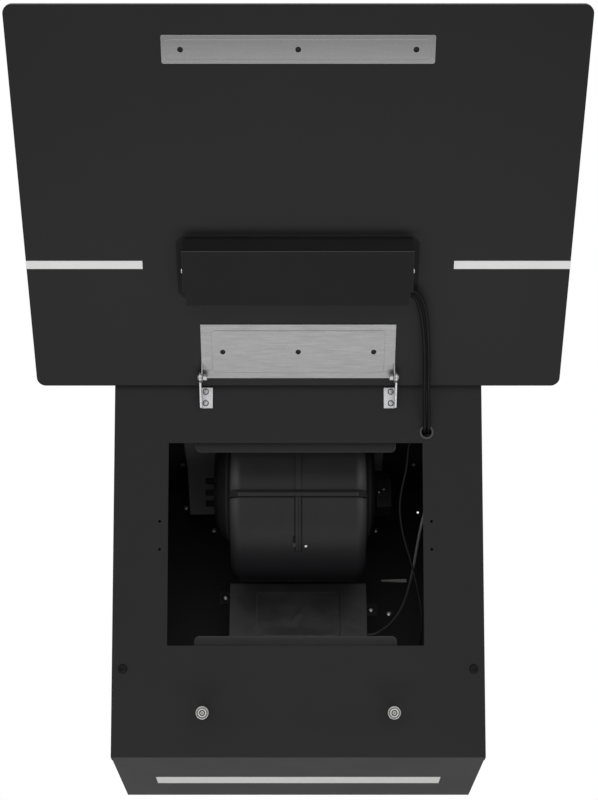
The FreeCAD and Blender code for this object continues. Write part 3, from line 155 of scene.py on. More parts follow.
def placed(name, mesh, node):
    """A finished mesh as a piece that stands for a CAD node and rides on its body."""
    piece = in_scene(name, mesh)
    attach(piece, body_of[node])
    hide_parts(node)
    return piece


def plain_mesh(piece):
    """The piece's mesh with its modifiers carried out; the piece itself is removed."""
    bpy.context.view_layer.update()
    seen = piece.evaluated_get(bpy.context.evaluated_depsgraph_get())
    mesh = bpy.data.meshes.new_from_object(seen)
    bpy.data.objects.remove(piece)
    return mesh


# CAD corners nearer than same_corner are one, and faces that meet within flat_angle are one face.
# Edges that turn more than edge_angle are rounded.
same_corner = 1e-6
flat_angle = math.radians(1)
edge_angle = math.radians(35)


def softened(node, material, *, radius, edge=None, shaping=None):
    """A CAD node with rounded edges, as coating leaves them; edge is the colour of the rounding, a painted
    highlight or painted shade line, and shaping goes first.
    """
    mesh = frame["nodes"][node].data.copy()
    work = bmesh.new()
    work.from_mesh(mesh)
    bmesh.ops.remove_doubles(work, verts=work.verts, dist=same_corner)
    bmesh.ops.dissolve_limit(work, angle_limit=flat_angle, verts=work.verts, edges=work.edges)
    for face in work.faces:
        face.smooth = True
    if shaping:
        shaping(work)
    work.to_mesh(mesh)
    work.free()
    mesh.materials.clear()
    mesh.materials.append(material)
    draft = in_scene("draft", mesh)
    edges = draft.modifiers.new("rounded edges", "BEVEL")
    if edge:
        mesh.materials.append(edge)
        edges.material = 1
    edges.width = radius
    edges.segments = 2
    edges.limit_method = "ANGLE"
    edges.angle_limit = edge_angle
    flats = draft.modifiers.new("flat faces stay flat", "WEIGHTED_NORMAL")
    flats.keep_sharp = True
    return placed(node + ".soft", plain_mesh(draft), node)


# One coat in four copies: as it was sprayed; a lighter copy, painted light, for the underside and lower
# ledge; a pale edge colour, a painted highlight along rounded edges; and a lighter copy, painted light, for
# the back wall.
black_coat = powder_coat("satin_black_powder_coat", "#161617", "#1a1a1b")
painted_lighter_coat = powder_coat("satin_black_powder_coat_wiped_pale", "#262627", "#2b2b2c")
edge_highlight_coat = powder_coat("powder_coat_rubbed_thin_on_edges", "#39393a", "#464647")
painted_lighter_back_coat = powder_coat("satin_black_powder_coat_dusty", "#1c1c1d", "#212122")
fold_radius = 0.00025
for panel in ("left_side_panel", "right_side_panel", "top_panel"):
    softened(panel, black_coat, radius=fold_radius)
softened("back_panel", painted_lighter_back_coat, radius=fold_radius)
softened("underside_panel", painted_lighter_coat, radius=fold_radius)
softened("front_fascia", black_coat, radius=0.0004, edge=edge_highlight_coat)


# Filter ledges: joggled strips of the same sheet behind the opening's upper and lower edge.
# They are spot welded to the fascia and coated with it.
# The ledges' edges carry the painted edge highlight, and the lower ledge takes the lighter copy, painted
# light.
softened("upper_filter_ledge", black_coat, radius=0.0003, edge=edge_highlight_coat)
softened("lower_filter_ledge", painted_lighter_coat, radius=0.0003, edge=edge_highlight_coat)


# Fascia screws: two black button-head screws with a hexagon socket, one near each lower corner.
# Steel with a black oxide skin from a hot salt bath, so they are darker and a little glossier than the coat.
def black_oxide():
    """Black oxide on steel: near black, with a slight oily gloss that differs from patch to patch; darker
    still where a head carries painted shade.
    """
    material, tree, shader, place = surface("black_oxide_steel")
    colour, clouds = mottled(tree, place, "#0a0a0a", "#111111", size=0.0015)
    soil = add(tree, "ShaderNodeAttribute", attribute_name="soil")["Fac"]
    colour = add(tree, "ShaderNodeMix", {0: soil, 6: colour, 7: linear("#010101")}, data_type="RGBA")[2]
    rough = add(tree, "ShaderNodeMapRange", {"Value": clouds, "To Min": 0.38, "To Max": 0.5})
    give(tree, shader, {"Base Color": colour, "Roughness": rough["Result"], "Specular IOR Level": 0.12})
    return material


def drawn_shape(name, work):
    """What was drawn in a bmesh, as an object in the scene."""
    mesh = bpy.data.meshes.new(name)
    work.to_mesh(mesh)
    work.free()
    return in_scene(name, mesh)


# Where a full turn closes, points nearer than seam_gap, in a head's own radii, are one.
seam_gap = 1e-5


def turned_shape(name, profile, steps=32):
    """A shape turned about Z from (radius, height, shade) points; shade is painted shade there, darkening
    it.
    """
    work = bmesh.new()
    soil = work.verts.layers.float.new("soil")
    corners = [work.verts.new((radius, 0, height)) for radius, height, dark in profile]
    for corner, (radius, height, dark) in zip(corners, profile):
        corner[soil] = dark
    edges = [work.edges.new(pair) for pair in zip(corners, corners[1:])]
    bmesh.ops.spin(
        work, geom=corners + edges, cent=(0, 0, 0), axis=(0, 0, 1),
        angle=2 * math.pi, steps=steps, use_duplicate=False,
    )
    bmesh.ops.remove_doubles(work, verts=work.verts, dist=seam_gap)
    bmesh.ops.recalc_face_normals(work, faces=work.faces)
    return drawn_shape(name, work)


def prism_shape(name, corners, low, high):
    """An upright prism from the corners of its outline, with painted shade all over, to be cut out as a
    recess whose walls it darkens.
    """
    work = bmesh.new()
    soil = work.verts.layers.float.new("soil")
    base = [work.verts.new((x, y, low)) for x, y in corners]
    top = [work.verts.new((x, y, high)) for x, y in corners]
    for corner in base + top:
        corner[soil] = 1.0
    count = len(corners)
    work.faces.new(base[::-1])
    work.faces.new(top)
    for n in range(count):
        work.faces.new((base[n], base[(n + 1) % count], top[(n + 1) % count], top[n]))
    return drawn_shape(name, work)


crisp_angle = math.radians(32)


def carved(piece, *tools):
    """The piece with each tool's shape taken out of it, smooth but for edges sharper than crisp_angle."""
    for tool in tools:
        bite = piece.modifiers.new("recess", "BOOLEAN")
        bite.object = tool
        bite.solver = "EXACT"
    mesh = plain_mesh(piece)
    for tool in tools:
        bpy.data.objects.remove(tool)
    mesh.shade_smooth()
    mesh.set_sharp_from_angle(angle=crisp_angle)
    return bpy.data.objects.new(mesh.name, mesh)


# Heads are drawn one radius wide and one height tall, and sized where they are set. A point's third number
# is painted shade, darkening the head there.
button_profile = [
    (0, 0, 0), (1, 0, 0), (1, 0.25, 0), (0.93, 0.55, 0), (0.72, 0.82, 0), (0.42, 0.96, 0), (0, 1, 0),
]
above_head = 2
socket_radius, socket_floor = 0.6, 0.1
hexagon = [
    (socket_radius * math.cos(turn), socket_radius * math.sin(turn))
    for turn in (2 * math.pi * n / 6 for n in range(6))
]
socket_head = carved(
    turned_shape("socket_head", button_profile), prism_shape("socket", hexagon, socket_floor, above_head),
)

# The tree sets a head and a shank on each point, facing its way and turned at random about it.
fasteners = bpy.data.node_groups.new("fasteners", "GeometryNodeTree")
for label, kind in (
    ("Geometry", "NodeSocketGeometry"), ("Head", "NodeSocketObject"),
    ("Head radius", "NodeSocketFloat"), ("Head height", "NodeSocketFloat"),
    ("Shank radius", "NodeSocketFloat"), ("Shank length", "NodeSocketFloat"),
    ("Seed", "NodeSocketInt"), ("Metal", "NodeSocketMaterial"),
):
    fasteners.interface.new_socket(label, in_out="INPUT", socket_type=kind)
fasteners.interface.new_socket("Geometry", in_out="OUTPUT", socket_type="NodeSocketGeometry")
given = add(fasteners, "NodeGroupInput")
head = add(fasteners, "GeometryNodeObjectInfo", {"Object": given["Head"]})
head_size = add(fasteners, "ShaderNodeCombineXYZ", {
    "X": given["Head radius"], "Y": given["Head radius"], "Z": given["Head height"],
})
head = add(fasteners, "GeometryNodeTransform", {"Geometry": head["Geometry"], "Scale": head_size[0]})
shank = add(fasteners, "GeometryNodeMeshCylinder", {
    "Vertices": 16, "Radius": given["Shank radius"], "Depth": given["Shank length"],
})
half_down = add(fasteners, "ShaderNodeMath", {0: given["Shank length"], 1: -0.5}, operation="MULTIPLY")
drop = add(fasteners, "ShaderNodeCombineXYZ", {"Z": half_down[0]})
shank = add(fasteners, "GeometryNodeTransform", {"Geometry": shank["Mesh"], "Translation": drop[0]})
whole = add(fasteners, "GeometryNodeJoinGeometry", {"Geometry": head["Geometry"]})
give(fasteners, whole[0].node, {"Geometry": shank["Geometry"]})
facing = add(fasteners, "GeometryNodeInputNamedAttribute", {"Name": "facing"}, data_type="FLOAT_VECTOR")
aim = add(fasteners, "FunctionNodeAlignRotationToVector", {"Vector": facing["Attribute"]}, axis="Z")
driven = add(fasteners, "FunctionNodeRandomValue", {
    2: 0.0, 3: 2 * math.pi, "Seed": given["Seed"],
}, data_type="FLOAT")
spin = add(fasteners, "FunctionNodeAxisAngleToRotation", {"Axis": (0, 0, 1), "Angle": driven[1]})
turned = add(fasteners, "FunctionNodeRotateRotation", {
    "Rotation": aim[0], "Rotate By": spin[0],
}, rotation_space="LOCAL")
seated = add(fasteners, "GeometryNodeInstanceOnPoints", {
    "Points": given["Geometry"], "Instance": whole[0], "Rotation": turned[0],
})
seated = add(fasteners, "GeometryNodeRealizeInstances", {"Geometry": seated[0]})
seated = add(fasteners, "GeometryNodeSetMaterial", {"Geometry": seated[0], "Material": given["Metal"]})
add(fasteners, "NodeGroupOutput", {"Geometry": seated[0]})
fastener_input = {
    item.name: item.identifier for item in fasteners.interface.items_tree if item.in_out == "INPUT"
}


def solids_of(node):
    """The corner points of each separate solid in a CAD node."""
    work = bmesh.new()
    work.from_mesh(frame["nodes"][node].data)
    bmesh.ops.remove_doubles(work, verts=work.verts, dist=same_corner)
    # A dict keeps the corners in order, so that each run finds the solids in the same order.
    waiting = dict.fromkeys(work.verts)
    solids = []
    while waiting:
        edge_of_search = [waiting.popitem()[0]]
        points = []
        while edge_of_search:
            corner = edge_of_search.pop()
            points.append(corner.co.copy())
            for edge in corner.link_edges:
                other = edge.other_vert(corner)
                if other in waiting:
                    del waiting[other]
                    edge_of_search.append(other)
        solids.append(points)
    work.free()
    return solids


shortest_shank = 0.0002


def fastened(node, shape, facing, material, *, head_height, shank_radius, seed=1, width=1.0):
    """Heads and shanks for a CAD node's plain fasteners; facing is a head's way, or finds it by place."""
    seats, ways = [], []
    for points in solids_of(node):
        middle = sum(points, Vector()) / len(points)
        way = (facing(middle) if callable(facing) else facing).normalized()
        turn = way.to_track_quat("Z", "Y")
        flat = [turn.inverted() @ point for point in points]
        low = Vector([min(point[n] for point in flat) for n in range(3)])
        high = Vector([max(point[n] for point in flat) for n in range(3)])
        seats.append(turn @ Vector(((low.x + high.x) / 2, (low.y + high.y) / 2, high.z - head_height)))
        ways.append(way)
        head_radius = width * (high.x - low.x) / 2
        shank_length = max(high.z - low.z - head_height, shortest_shank)
    mesh = bpy.data.meshes.new(node)
    mesh.from_pydata(seats, [], [])
    mesh.attributes.new("facing", "FLOAT_VECTOR", "POINT")
    mesh.attributes["facing"].data.foreach_set("vector", [part for way in ways for part in way])
    draft = in_scene("draft", mesh)
    maker = draft.modifiers.new("fasteners", "NODES")
    maker.node_group = fasteners
    for label, value in (
        ("Head", shape), ("Head radius", head_radius), ("Head height", head_height),
        ("Shank radius", shank_radius), ("Shank length", shank_length), ("Seed", seed), ("Metal", material),
    ):
        maker[fastener_input[label]] = value
    mesh = plain_mesh(draft)
    mesh.materials.clear()
    mesh.materials.append(material)
    return placed(node + ".set", mesh, node)


fascia_lean = math.radians(21.717)
off_fascia = Vector((0, -math.cos(fascia_lean), -math.sin(fascia_lean)))
fastened("fascia_screws", socket_head, off_fascia, black_oxide(), head_height=0.0026, shank_radius=0.002)


# Magnetic catches: turned steel cups on short stems, riveted to the fascia, each with a magnet pressed in.
# The cups are zinc plated and the magnets have a thin nickel skin, so both show as pale rings.
def bright_metal(name, first, second, *, patch, rough, painted_shading=None):
    """Plated or bare metal: fine bright crystals, rolling lines along X, a wide gloss, and darkening where
    given: painted shade in corners and hollows, and on plates a darkening towards the top.
    """
    lines_per_metre = (40, 900, 900)
    line_depth = 0.0002
    material, tree, shader, place = surface(name)
    colour = mottled(tree, place, first, second, size=patch, detail=6.0)[0]
    if painted_shading:
        soil = painted_shading(tree, place)
    else:
        soil = add(tree, "ShaderNodeAttribute", attribute_name="soil")["Fac"]
    colour = add(tree, "ShaderNodeMix", {0: soil, 6: colour, 7: linear("#1a1a1a")}, data_type="RGBA")[2]
    rolled = add(tree, "ShaderNodeMapping", {"Vector": place, "Scale": lines_per_metre})
    lines = add(tree, "ShaderNodeTexNoise", {"Vector": rolled[0], "Scale": 1.0, "Detail": 3.0})
    sheen = add(tree, "ShaderNodeMapRange", {
        "Value": lines["Fac"], "From Min": noise_low, "From Max": noise_high,
        "To Min": rough[0], "To Max": rough[1],
    })
    bump = add(tree, "ShaderNodeBump", {"Height": lines["Fac"], "Strength": 0.06, "Distance": line_depth})
    give(tree, shader, {
        "Base Color": colour, "Roughness": sheen["Result"], "Normal": bump["Normal"], "Metallic": 1.0,
    })
    return material


zinc_bright = bright_metal("zinc_plated_bright_steel", "#b4b4b5", "#c4c4c5", patch=0.002, rough=(0.3, 0.4))
zinc_dull = bright_metal("zinc_plated_dull_steel", "#8a8a8b", "#9a9a9b", patch=0.002, rough=(0.4, 0.5))
nickel_skin = bright_metal("nickel_plated_magnet", "#b2b1ae", "#c4c3c0", patch=0.003, rough=(0.32, 0.42))
# The cups' rounded rims take the brighter zinc as a painted highlight.
softened("catch_posts", zinc_dull, radius=0.0004, edge=zinc_bright)
# The magnet's side, its groove and its middle recess carry painted shade, so its rings show dark between
# them.
magnet_profile = [
    (0, 0, 0), (1, 0, 0.8), (1, 0.9, 0.8), (0.93, 1, 0), (0.68, 1, 0), (0.62, 0.8, 0.9), (0.46, 0.8, 0.9),
    (0.4, 1, 0), (0.24, 1, 0), (0.18, 0.7, 0.7), (0, 0.7, 0.3),
]
ringed_magnet = carved(turned_shape("ringed_magnet", magnet_profile))
fastened(
    "catch_magnets", ringed_magnet, off_fascia, nickel_skin, head_height=0.003, shank_radius=0.001, seed=11,
)


# Hinge: pressed steel brackets screwed to the fascia, with bolts, nuts and friction washers at the pivots.
# All are zinc plated after pressing, so cut edges are rounded; their paler edge colour is a painted
# highlight.
zinc_pressed = bright_metal(
    "zinc_plated_pressed_steel", "#a8a8aa", "#b6b6b8", patch=0.0015, rough=(0.42, 0.54),
)
for bracket in ("left_hinge_bracket", "right_hinge_bracket"):
    softened(bracket, zinc_pressed, radius=0.0005, edge=zinc_bright)
softened("friction_washers", zinc_dull, radius=0.0001)
# A pan head is painted half dark underneath, as painted shade where it sits.
pan_profile = [
    (0, 0, 0.5), (1, 0, 0.5), (1, 0.5, 0), (0.93, 0.76, 0), (0.74, 0.92, 0), (0.4, 1, 0), (0, 1, 0),
]
# The bracket and lug screws sit on a thin washer painted near black, a painted shade ring round each head.
washer_profile = [
    (0, 0, 1), (1.3, 0, 1), (1.3, 0.16, 1), (1.06, 0.18, 1), (1.02, 0.2, 0.6), *pan_profile[2:],
]
slot_half, slot_side, slot_floor = 0.56, 0.13, 0.5


def cross_slots():
    """The two bars of a cross recess, to be cut out of a head, darkening the recess with painted shade."""
    return [
        prism_shape(name, [(-x, -y), (x, -y), (x, y), (-x, y)], slot_floor, above_head)
        for name, x, y in (("slot_along", slot_half, slot_side), ("slot_across", slot_side, slot_half))
    ]


cross_head = carved(turned_shape("cross_head", pan_profile), *cross_slots())
washer_head = carved(turned_shape("washer_head", washer_profile), *cross_slots())
# The nut's underside carries a little painted shade.
nut_profile = [(0, 0, 0.3), (0.86, 0, 0.3), (1, 0.12, 0), (1, 0.88, 0), (0.86, 1, 0), (0, 1, 0)]
nut_shape = carved(turned_shape("nut", nut_profile, steps=6))
fastened(
    "bracket_screws", washer_head, off_fascia, zinc_pressed, head_height=0.0016, shank_radius=0.0015, seed=2,
)


def outward(middle):
    """Sideways, away from the hood's middle."""
    return Vector((math.copysign(1, middle.x), 0, 0))


def inward(middle):
    """Sideways, towards the hood's middle."""
    return -outward(middle)


fastened("pivot_bolts", cross_head, outward, zinc_dull, head_height=0.002, shank_radius=0.0025, seed=3)
fastened("pivot_nuts", nut_shape, inward, zinc_pressed, head_height=0.005, shank_radius=0.0025, seed=4)


# Grommet: a moulded rubber ring snapped into the fascia, where the panel cables pass.
# Matt black, with a rounded lip that catches a pale line of light.
def moulded_rubber():
    """Moulded rubber: matt, slightly dusty, with a soft grain about 2 mm across."""
    material, tree, shader, place = surface("moulded_black_rubber")
    colour, clouds = mottled(tree, place, "#1b1b1b", "#2a2a2a", size=0.002)
    bump = add(tree, "ShaderNodeBump", {"Height": clouds, "Strength": 0.1, "Distance": 0.0002})
    give(tree, shader, {"Base Color": colour, "Roughness": 0.5, "Normal": bump["Normal"]})
    return material


softened("cable_grommet", moulded_rubber(), radius=0.0009)


# Lamp: a long frosted acrylic diffuser in the underside, under an aluminium channel with a strip of lights.
# The diffuser is extruded and sanded, so it is evenly milky and shows no lights through it.
def silky_finish(name, first, second):
    """Frosted acrylic, natural nylon or fired print: pale, with a faint cloud and a silky sheen."""
    material, tree, shader, place = surface(name)
    colour, clouds = mottled(tree, place, first, second, size=0.02)
    rough = add(tree, "ShaderNodeMapRange", {"Value": clouds, "To Min": 0.42, "To Max": 0.52})
    give(tree, shader, {"Base Color": colour, "Roughness": rough["Result"]})
    return material


def dressed(node, material):
    """Gives a CAD node whose shape is right its real finish."""
    for slot in frame["nodes"][node].material_slots:
        slot.material = material


softened("lamp_diffuser", silky_finish("frosted_acrylic", "#c6c6c4", "#cdcdcb"), radius=0.0003)
raw_aluminium = bright_metal("extruded_aluminium", "#b4b5b6", "#c2c3c4", patch=0.004, rough=(0.3, 0.4))
dressed("lamp_channel", raw_aluminium)


def printed_board():
    """Printed board: green solder mask over glass cloth, with pale copper pads about 5 mm apart."""
    pad_spacing = 0.005
    material, tree, shader, place = surface("printed_circuit_board")
    pads = add(tree, "ShaderNodeTexVoronoi", {"Vector": place, "Scale": 1 / pad_spacing, "Randomness": 0.35})
    edge = add(tree, "ShaderNodeMapRange", {"Value": pads["Distance"], "From Min": 0.16, "From Max": 0.2})
    mask = mottled(tree, place, "#16392a", "#1d4a35", size=0.01)[0]
    colour = add(tree, "ShaderNodeMix", {
        0: edge["Result"], 6: linear("#b09a6a"), 7: mask,
    }, data_type="RGBA")[2]
    give(tree, shader, {"Base Color": colour, "Roughness": 0.35})
    return material


solder_mask = printed_board()
for board in ("lamp_board", "power_board", "control_board"):
    dressed(board, solder_mask)


# Blower: a two-piece drum of moulded black plastic with an outlet throat, clipped along a tilted seam.
# A dished inlet bell is snapped on each end, and a folded steel plate hangs it from the top panel.
def moulded_plastic(name, first, second, *, rough, painted_light_marks=None, gloss=0.27):
    """Moulded plastic: fine spark-eroded grain, drawn at 1.2 mm so that it shows, with faint flow marks, and
    painted light and shade where they are given.
    """
    flow_size, grain_size, grain_depth = 0.03, 0.0012, 0.0001
    flow_stretch = (1.0, 0.35, 0.35)
    material, tree, shader, place = surface(name)
    flow = add(tree, "ShaderNodeMapping", {"Vector": place, "Scale": flow_stretch})
    colour, clouds = mottled(tree, flow[0], first, second, size=flow_size)
    if painted_light_marks:
        colour = painted_light_marks(tree, place, colour)
    grain = add(tree, "ShaderNodeTexNoise", {"Vector": place, "Scale": 1 / grain_size, "Detail": 2.0})
    sheen = add(tree, "ShaderNodeMapRange", {"Value": clouds, "To Min": rough[0], "To Max": rough[1]})
    bump = add(tree, "ShaderNodeBump", {"Height": grain["Fac"], "Strength": 0.1, "Distance": grain_depth})
    give(tree, shader, {
        "Base Color": colour, "Roughness": sheen["Result"], "Normal": bump["Normal"],
        "Specular IOR Level": gloss,
    })
    return material


drum_axis = Vector((0, -0.178, 0.047))
seam_tilt = math.radians(13.3)
off_seam = Vector((0, -math.sin(seam_tilt), math.cos(seam_tilt)))


def band(tree, value, low, high, soft):
    """1 where a value lies between two limits, falling away to 0 over a soft margin outside them."""
    off = add(tree, "ShaderNodeMath", {0: value, 1: (low + high) / 2}, operation="SUBTRACT")[0]
    off = add(tree, "ShaderNodeMath", {0: off}, operation="ABSOLUTE")[0]
    half = (high - low) / 2
    return add(tree, "ShaderNodeMapRange", {
        "Value": off, "From Min": half, "From Max": half + soft, "To Min": 1.0, "To Max": 0.0,
    }, interpolation_type="SMOOTHSTEP")[0]


def drum_painted_light(tree, place, colour):
    """Painted light and shade: a lighter top, a painted highlight on the rounded ends, painted shade on the
    underside, along the seam and the rib, and a slot of painted shade beside the rib with a painted
    highlight at its end.
    """
    x, y, z = add(tree, "ShaderNodeSeparateXYZ", {"Vector": place})
    out = add(tree, "ShaderNodeMath", {0: x}, operation="ABSOLUTE")[0]
    above = add(tree, "ShaderNodeVectorMath", {0: place, 1: off_seam}, operation="DOT_PRODUCT")["Value"]
    above = add(tree, "ShaderNodeMath", {0: above, 1: drum_axis.dot(off_seam)}, operation="SUBTRACT")[0]
    # A stretch is a place in metres, its limits and a soft margin; a mark fills where its stretches meet.
    below_seam = (above, -0.062, -0.003, 0.003)
    on_front = (y, -1.0, -0.2, 0.001)
    for mark, *stretches in (
        ("#545456", (z, 0.1, 1.0, 0.05)),  # the top
        ("#4c4c4d", (out, 0.074, 1.0, 0.008), (z, 0.06, 1.0, 0.09)),  # the rounded ends
        ("#18181a", (z, -1.0, -0.04, 0.03)),  # the underside
        ("#0c0c0c", (above, 0.0016, 0.0052, 0.0004)),  # a line over the seam
        ("#0f0f0f", (above, -0.004, -0.003, 0.0004)),  # a line under the seam
        ("#141415", (out, 0.0033, 0.0045, 0.0005), below_seam),  # both feet of the rib
        ("#171718", (x, 0.0002, 0.0008, 0.0004), below_seam),  # a line along the rib
        ("#020202", (x, -0.0062, -0.0034, 0.0004), (z, -0.0216, -0.0164, 0.0008), on_front),  # the slot
        ("#3e3e3f", (x, -0.0052, -0.0034, 0.0004), (z, -0.0253, -0.0232, 0.0006), on_front),  # its pale end
    ):
        filled = 1.0
        for value, low, high, soft in stretches:
            share = band(tree, value, low, high, soft)
            filled = add(tree, "ShaderNodeMath", {0: filled, 1: share}, operation="MULTIPLY")[0]
        colour = add(tree, "ShaderNodeMix", {0: filled, 6: colour, 7: linear(mark)}, data_type="RGBA")[2]
    return colour


drum_plastic = moulded_plastic(
    "moulded_black_abs", "#262627", "#292929", rough=(0.44, 0.48), painted_light_marks=drum_painted_light, gloss=0.07,
)


def bell_rim_highlight(tree, place, colour):
    """The bell's rim, next to the drum, is painted paler as a highlight."""
    x = add(tree, "ShaderNodeSeparateXYZ", {"Vector": place})["X"]
    out = add(tree, "ShaderNodeMath", {0: x}, operation="ABSOLUTE")[0]
    rim = band(tree, out, low=0.0847, high=0.086, soft=0.0008)
    return add(tree, "ShaderNodeMix", {0: rim, 6: colour, 7: linear("#2d2d2e")}, data_type="RGBA")[2]


bell_plastic = moulded_plastic(
    "moulded_black_polypropylene", "#18181a", "#1f1f20", rough=(0.45, 0.55), painted_light_marks=bell_rim_highlight, gloss=0.14,
)
prong_shade_plastic = moulded_plastic("sooty_polypropylene", "#030303", "#070707", rough=(0.6, 0.7), gloss=0.03)
clip_plastic = moulded_plastic("moulded_black_acetal", "#0a0a0a", "#0e0e0e", rough=(0.4, 0.5), gloss=0.1)
for half in ("blower_upper_housing", "blower_lower_housing"):
    softened(half, drum_plastic, radius=0.0004)
softened("housing_clips", clip_plastic, radius=0.0002)
softened("right_inlet_bell", bell_plastic, radius=0.0006)
left_bell = softened("left_inlet_bell", bell_plastic, radius=0.0006)
# The prongs that reach out of the left bell's mouth are painted near black as painted shade, and show as a
# black shape.
prong_reach = 0.0095
prong_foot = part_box("left_inlet_bell")[0][0] + prong_reach
left_bell.data.materials.append(prong_shade_plastic)
for face in left_bell.data.polygons:
    if face.center.x < prong_foot:
        face.material_index = 1
softened("blower_mount", powder_coat("dark_grey_powder_coat", "#5a5a5c", "#626264"), radius=0.0003)


def off_drum(middle):
    """Straight out of the drum's wall."""
    return Vector((0, middle.y - drum_axis.y, middle.z - drum_axis.z))


fastened(
    "housing_screw", cross_head, off_drum, zinc_bright,
    head_height=0.0022, shank_radius=0.0012, seed=5, width=0.6,
)


# Fan and motor: a moulded wheel with 36 forward-curved blades on a steel shaft, and a dark painted motor.
# The motor sits inside the wheel on a three-armed spider and has its terminals on the free end.
wheel_plastic = moulded_plastic("moulded_black_nylon", "#1a1a1a", "#222222", rough=(0.4, 0.5))
dressed("fan_wheel", wheel_plastic)
ground_steel = bright_metal("ground_steel_shaft", "#8f8f90", "#a4a4a5", patch=0.003, rough=(0.18, 0.26))
dressed("motor_shaft", ground_steel)
motor_enamel = powder_coat("dark_motor_enamel", "#101011", "#161617")
softened("motor", motor_enamel, radius=0.0012)
softened("motor_bracket", motor_enamel, radius=0.0003)
softened("terminal_block", clip_plastic, radius=0.0004)
tinned_brass = bright_metal("tinned_brass_pins", "#b5b2a8", "#c6c3ba", patch=0.001, rough=(0.25, 0.35))
softened("terminal_pins", tinned_brass, radius=0.0002)


# Electronics: a plastic tray screwed to the back panel by two lugs, with a thin embossed lid.
# The lid is drawn from thin sheet, so its face is wavy and creased; board and capacitor are shut inside.
def ways_over(tree, place, middle, up):
    """How far a place lies across and up from a middle, on a face whose upward way is given."""
    off = add(tree, "ShaderNodeVectorMath", {0: place, 1: middle}, operation="SUBTRACT")["Vector"]
    return [
        add(tree, "ShaderNodeVectorMath", {0: off, 1: way}, operation="DOT_PRODUCT")["Value"]
        for way in (Vector((1, 0, 0)), up)
    ]


def field_outline(tree, ways, halves, corner):
    """The distance from a raised field's rounded outline, given its half sizes and its corner radius."""
    past = []
    for way, half in zip(ways, halves):
        far = add(tree, "ShaderNodeMath", {0: way}, operation="ABSOLUTE")[0]
        past.append(add(tree, "ShaderNodeMath", {0: far, 1: half - corner}, operation="SUBTRACT")[0])
    # Beyond the straight stretches the outline is round, so the distance there is from the corner's centre.
    beyond = add(tree, "ShaderNodeCombineXYZ", {"X": past[0], "Y": past[1]})[0]
    beyond = add(tree, "ShaderNodeVectorMath", {0: beyond, 1: (0, 0, 0)}, operation="MAXIMUM")["Vector"]
    beyond = add(tree, "ShaderNodeVectorMath", {0: beyond}, operation="LENGTH")["Value"]
    inner = add(tree, "ShaderNodeMath", {0: past[0], 1: past[1]}, operation="MAXIMUM")[0]
    inner = add(tree, "ShaderNodeMath", {0: inner, 1: 0.0}, operation="MINIMUM")[0]
    total = add(tree, "ShaderNodeMath", {0: beyond, 1: inner}, operation="ADD")[0]
    total = add(tree, "ShaderNodeMath", {0: total, 1: corner}, operation="SUBTRACT")[0]
    return add(tree, "ShaderNodeMath", {0: total}, operation="ABSOLUTE")[0]


# Places and sizes on the lid in metres: its raised field and half sizes, its crease, the waves, and the flat
# border and slope inside the field's edge. The crease's rise is counted in dent depths.
emboss_corner = 0.004
lid_field = Vector((0, -0.0578, -0.047))
lid_halves = (0.0525, 0.029)
lid_crease = Vector((-0.001, -0.0578, -0.049))
crease_turn = math.radians(-34)
crease_width, crease_length, crease_rise = 0.003, 0.012, 1.5
wave_length = 0.035
dent_depth = 0.0007
cut_spacing = 0.0025
front_skin = 1e-5
border, slope = 0.001, 0.01


def dented(work):
    """Presses waves some 35 mm long and one crease into the lid's field, on a grid of cuts 2.5 mm apart."""
    front = min(corner.co.y for corner in work.verts) + front_skin
    for way, half in zip((Vector((1, 0, 0)), Vector((0, 0, 1))), lid_halves):
        count = int(half / cut_spacing)
        for step in range(-count, count + 1):
            faces = [face for face in work.faces if all(corner.co.y < front for corner in face.verts)]
            edges = dict.fromkeys(edge for face in faces for edge in face.edges)
            corners = dict.fromkeys(corner for face in faces for corner in face.verts)
            bmesh.ops.bisect_plane(
                work, geom=[*corners, *edges, *faces],
                plane_co=lid_field + step * cut_spacing * way, plane_no=way,
            )
    for corner in work.verts:
        inside = min(half - abs(corner.co[n] - lid_field[n]) for n, half in zip((0, 2), lid_halves))
        if corner.co.y < front and inside > border:
            off = corner.co - lid_crease
            aside = off.x * math.cos(crease_turn) + off.z * math.sin(crease_turn)
            along = off.z * math.cos(crease_turn) - off.x * math.sin(crease_turn)
            fold = crease_rise * math.exp(-(aside / crease_width) ** 2 - (along / crease_length) ** 2)
            wave = 1 + noise.noise(corner.co / wave_length)
            corner.co.y += dent_depth * min(inside / slope, 1.0) * max(wave - fold, 0.0)


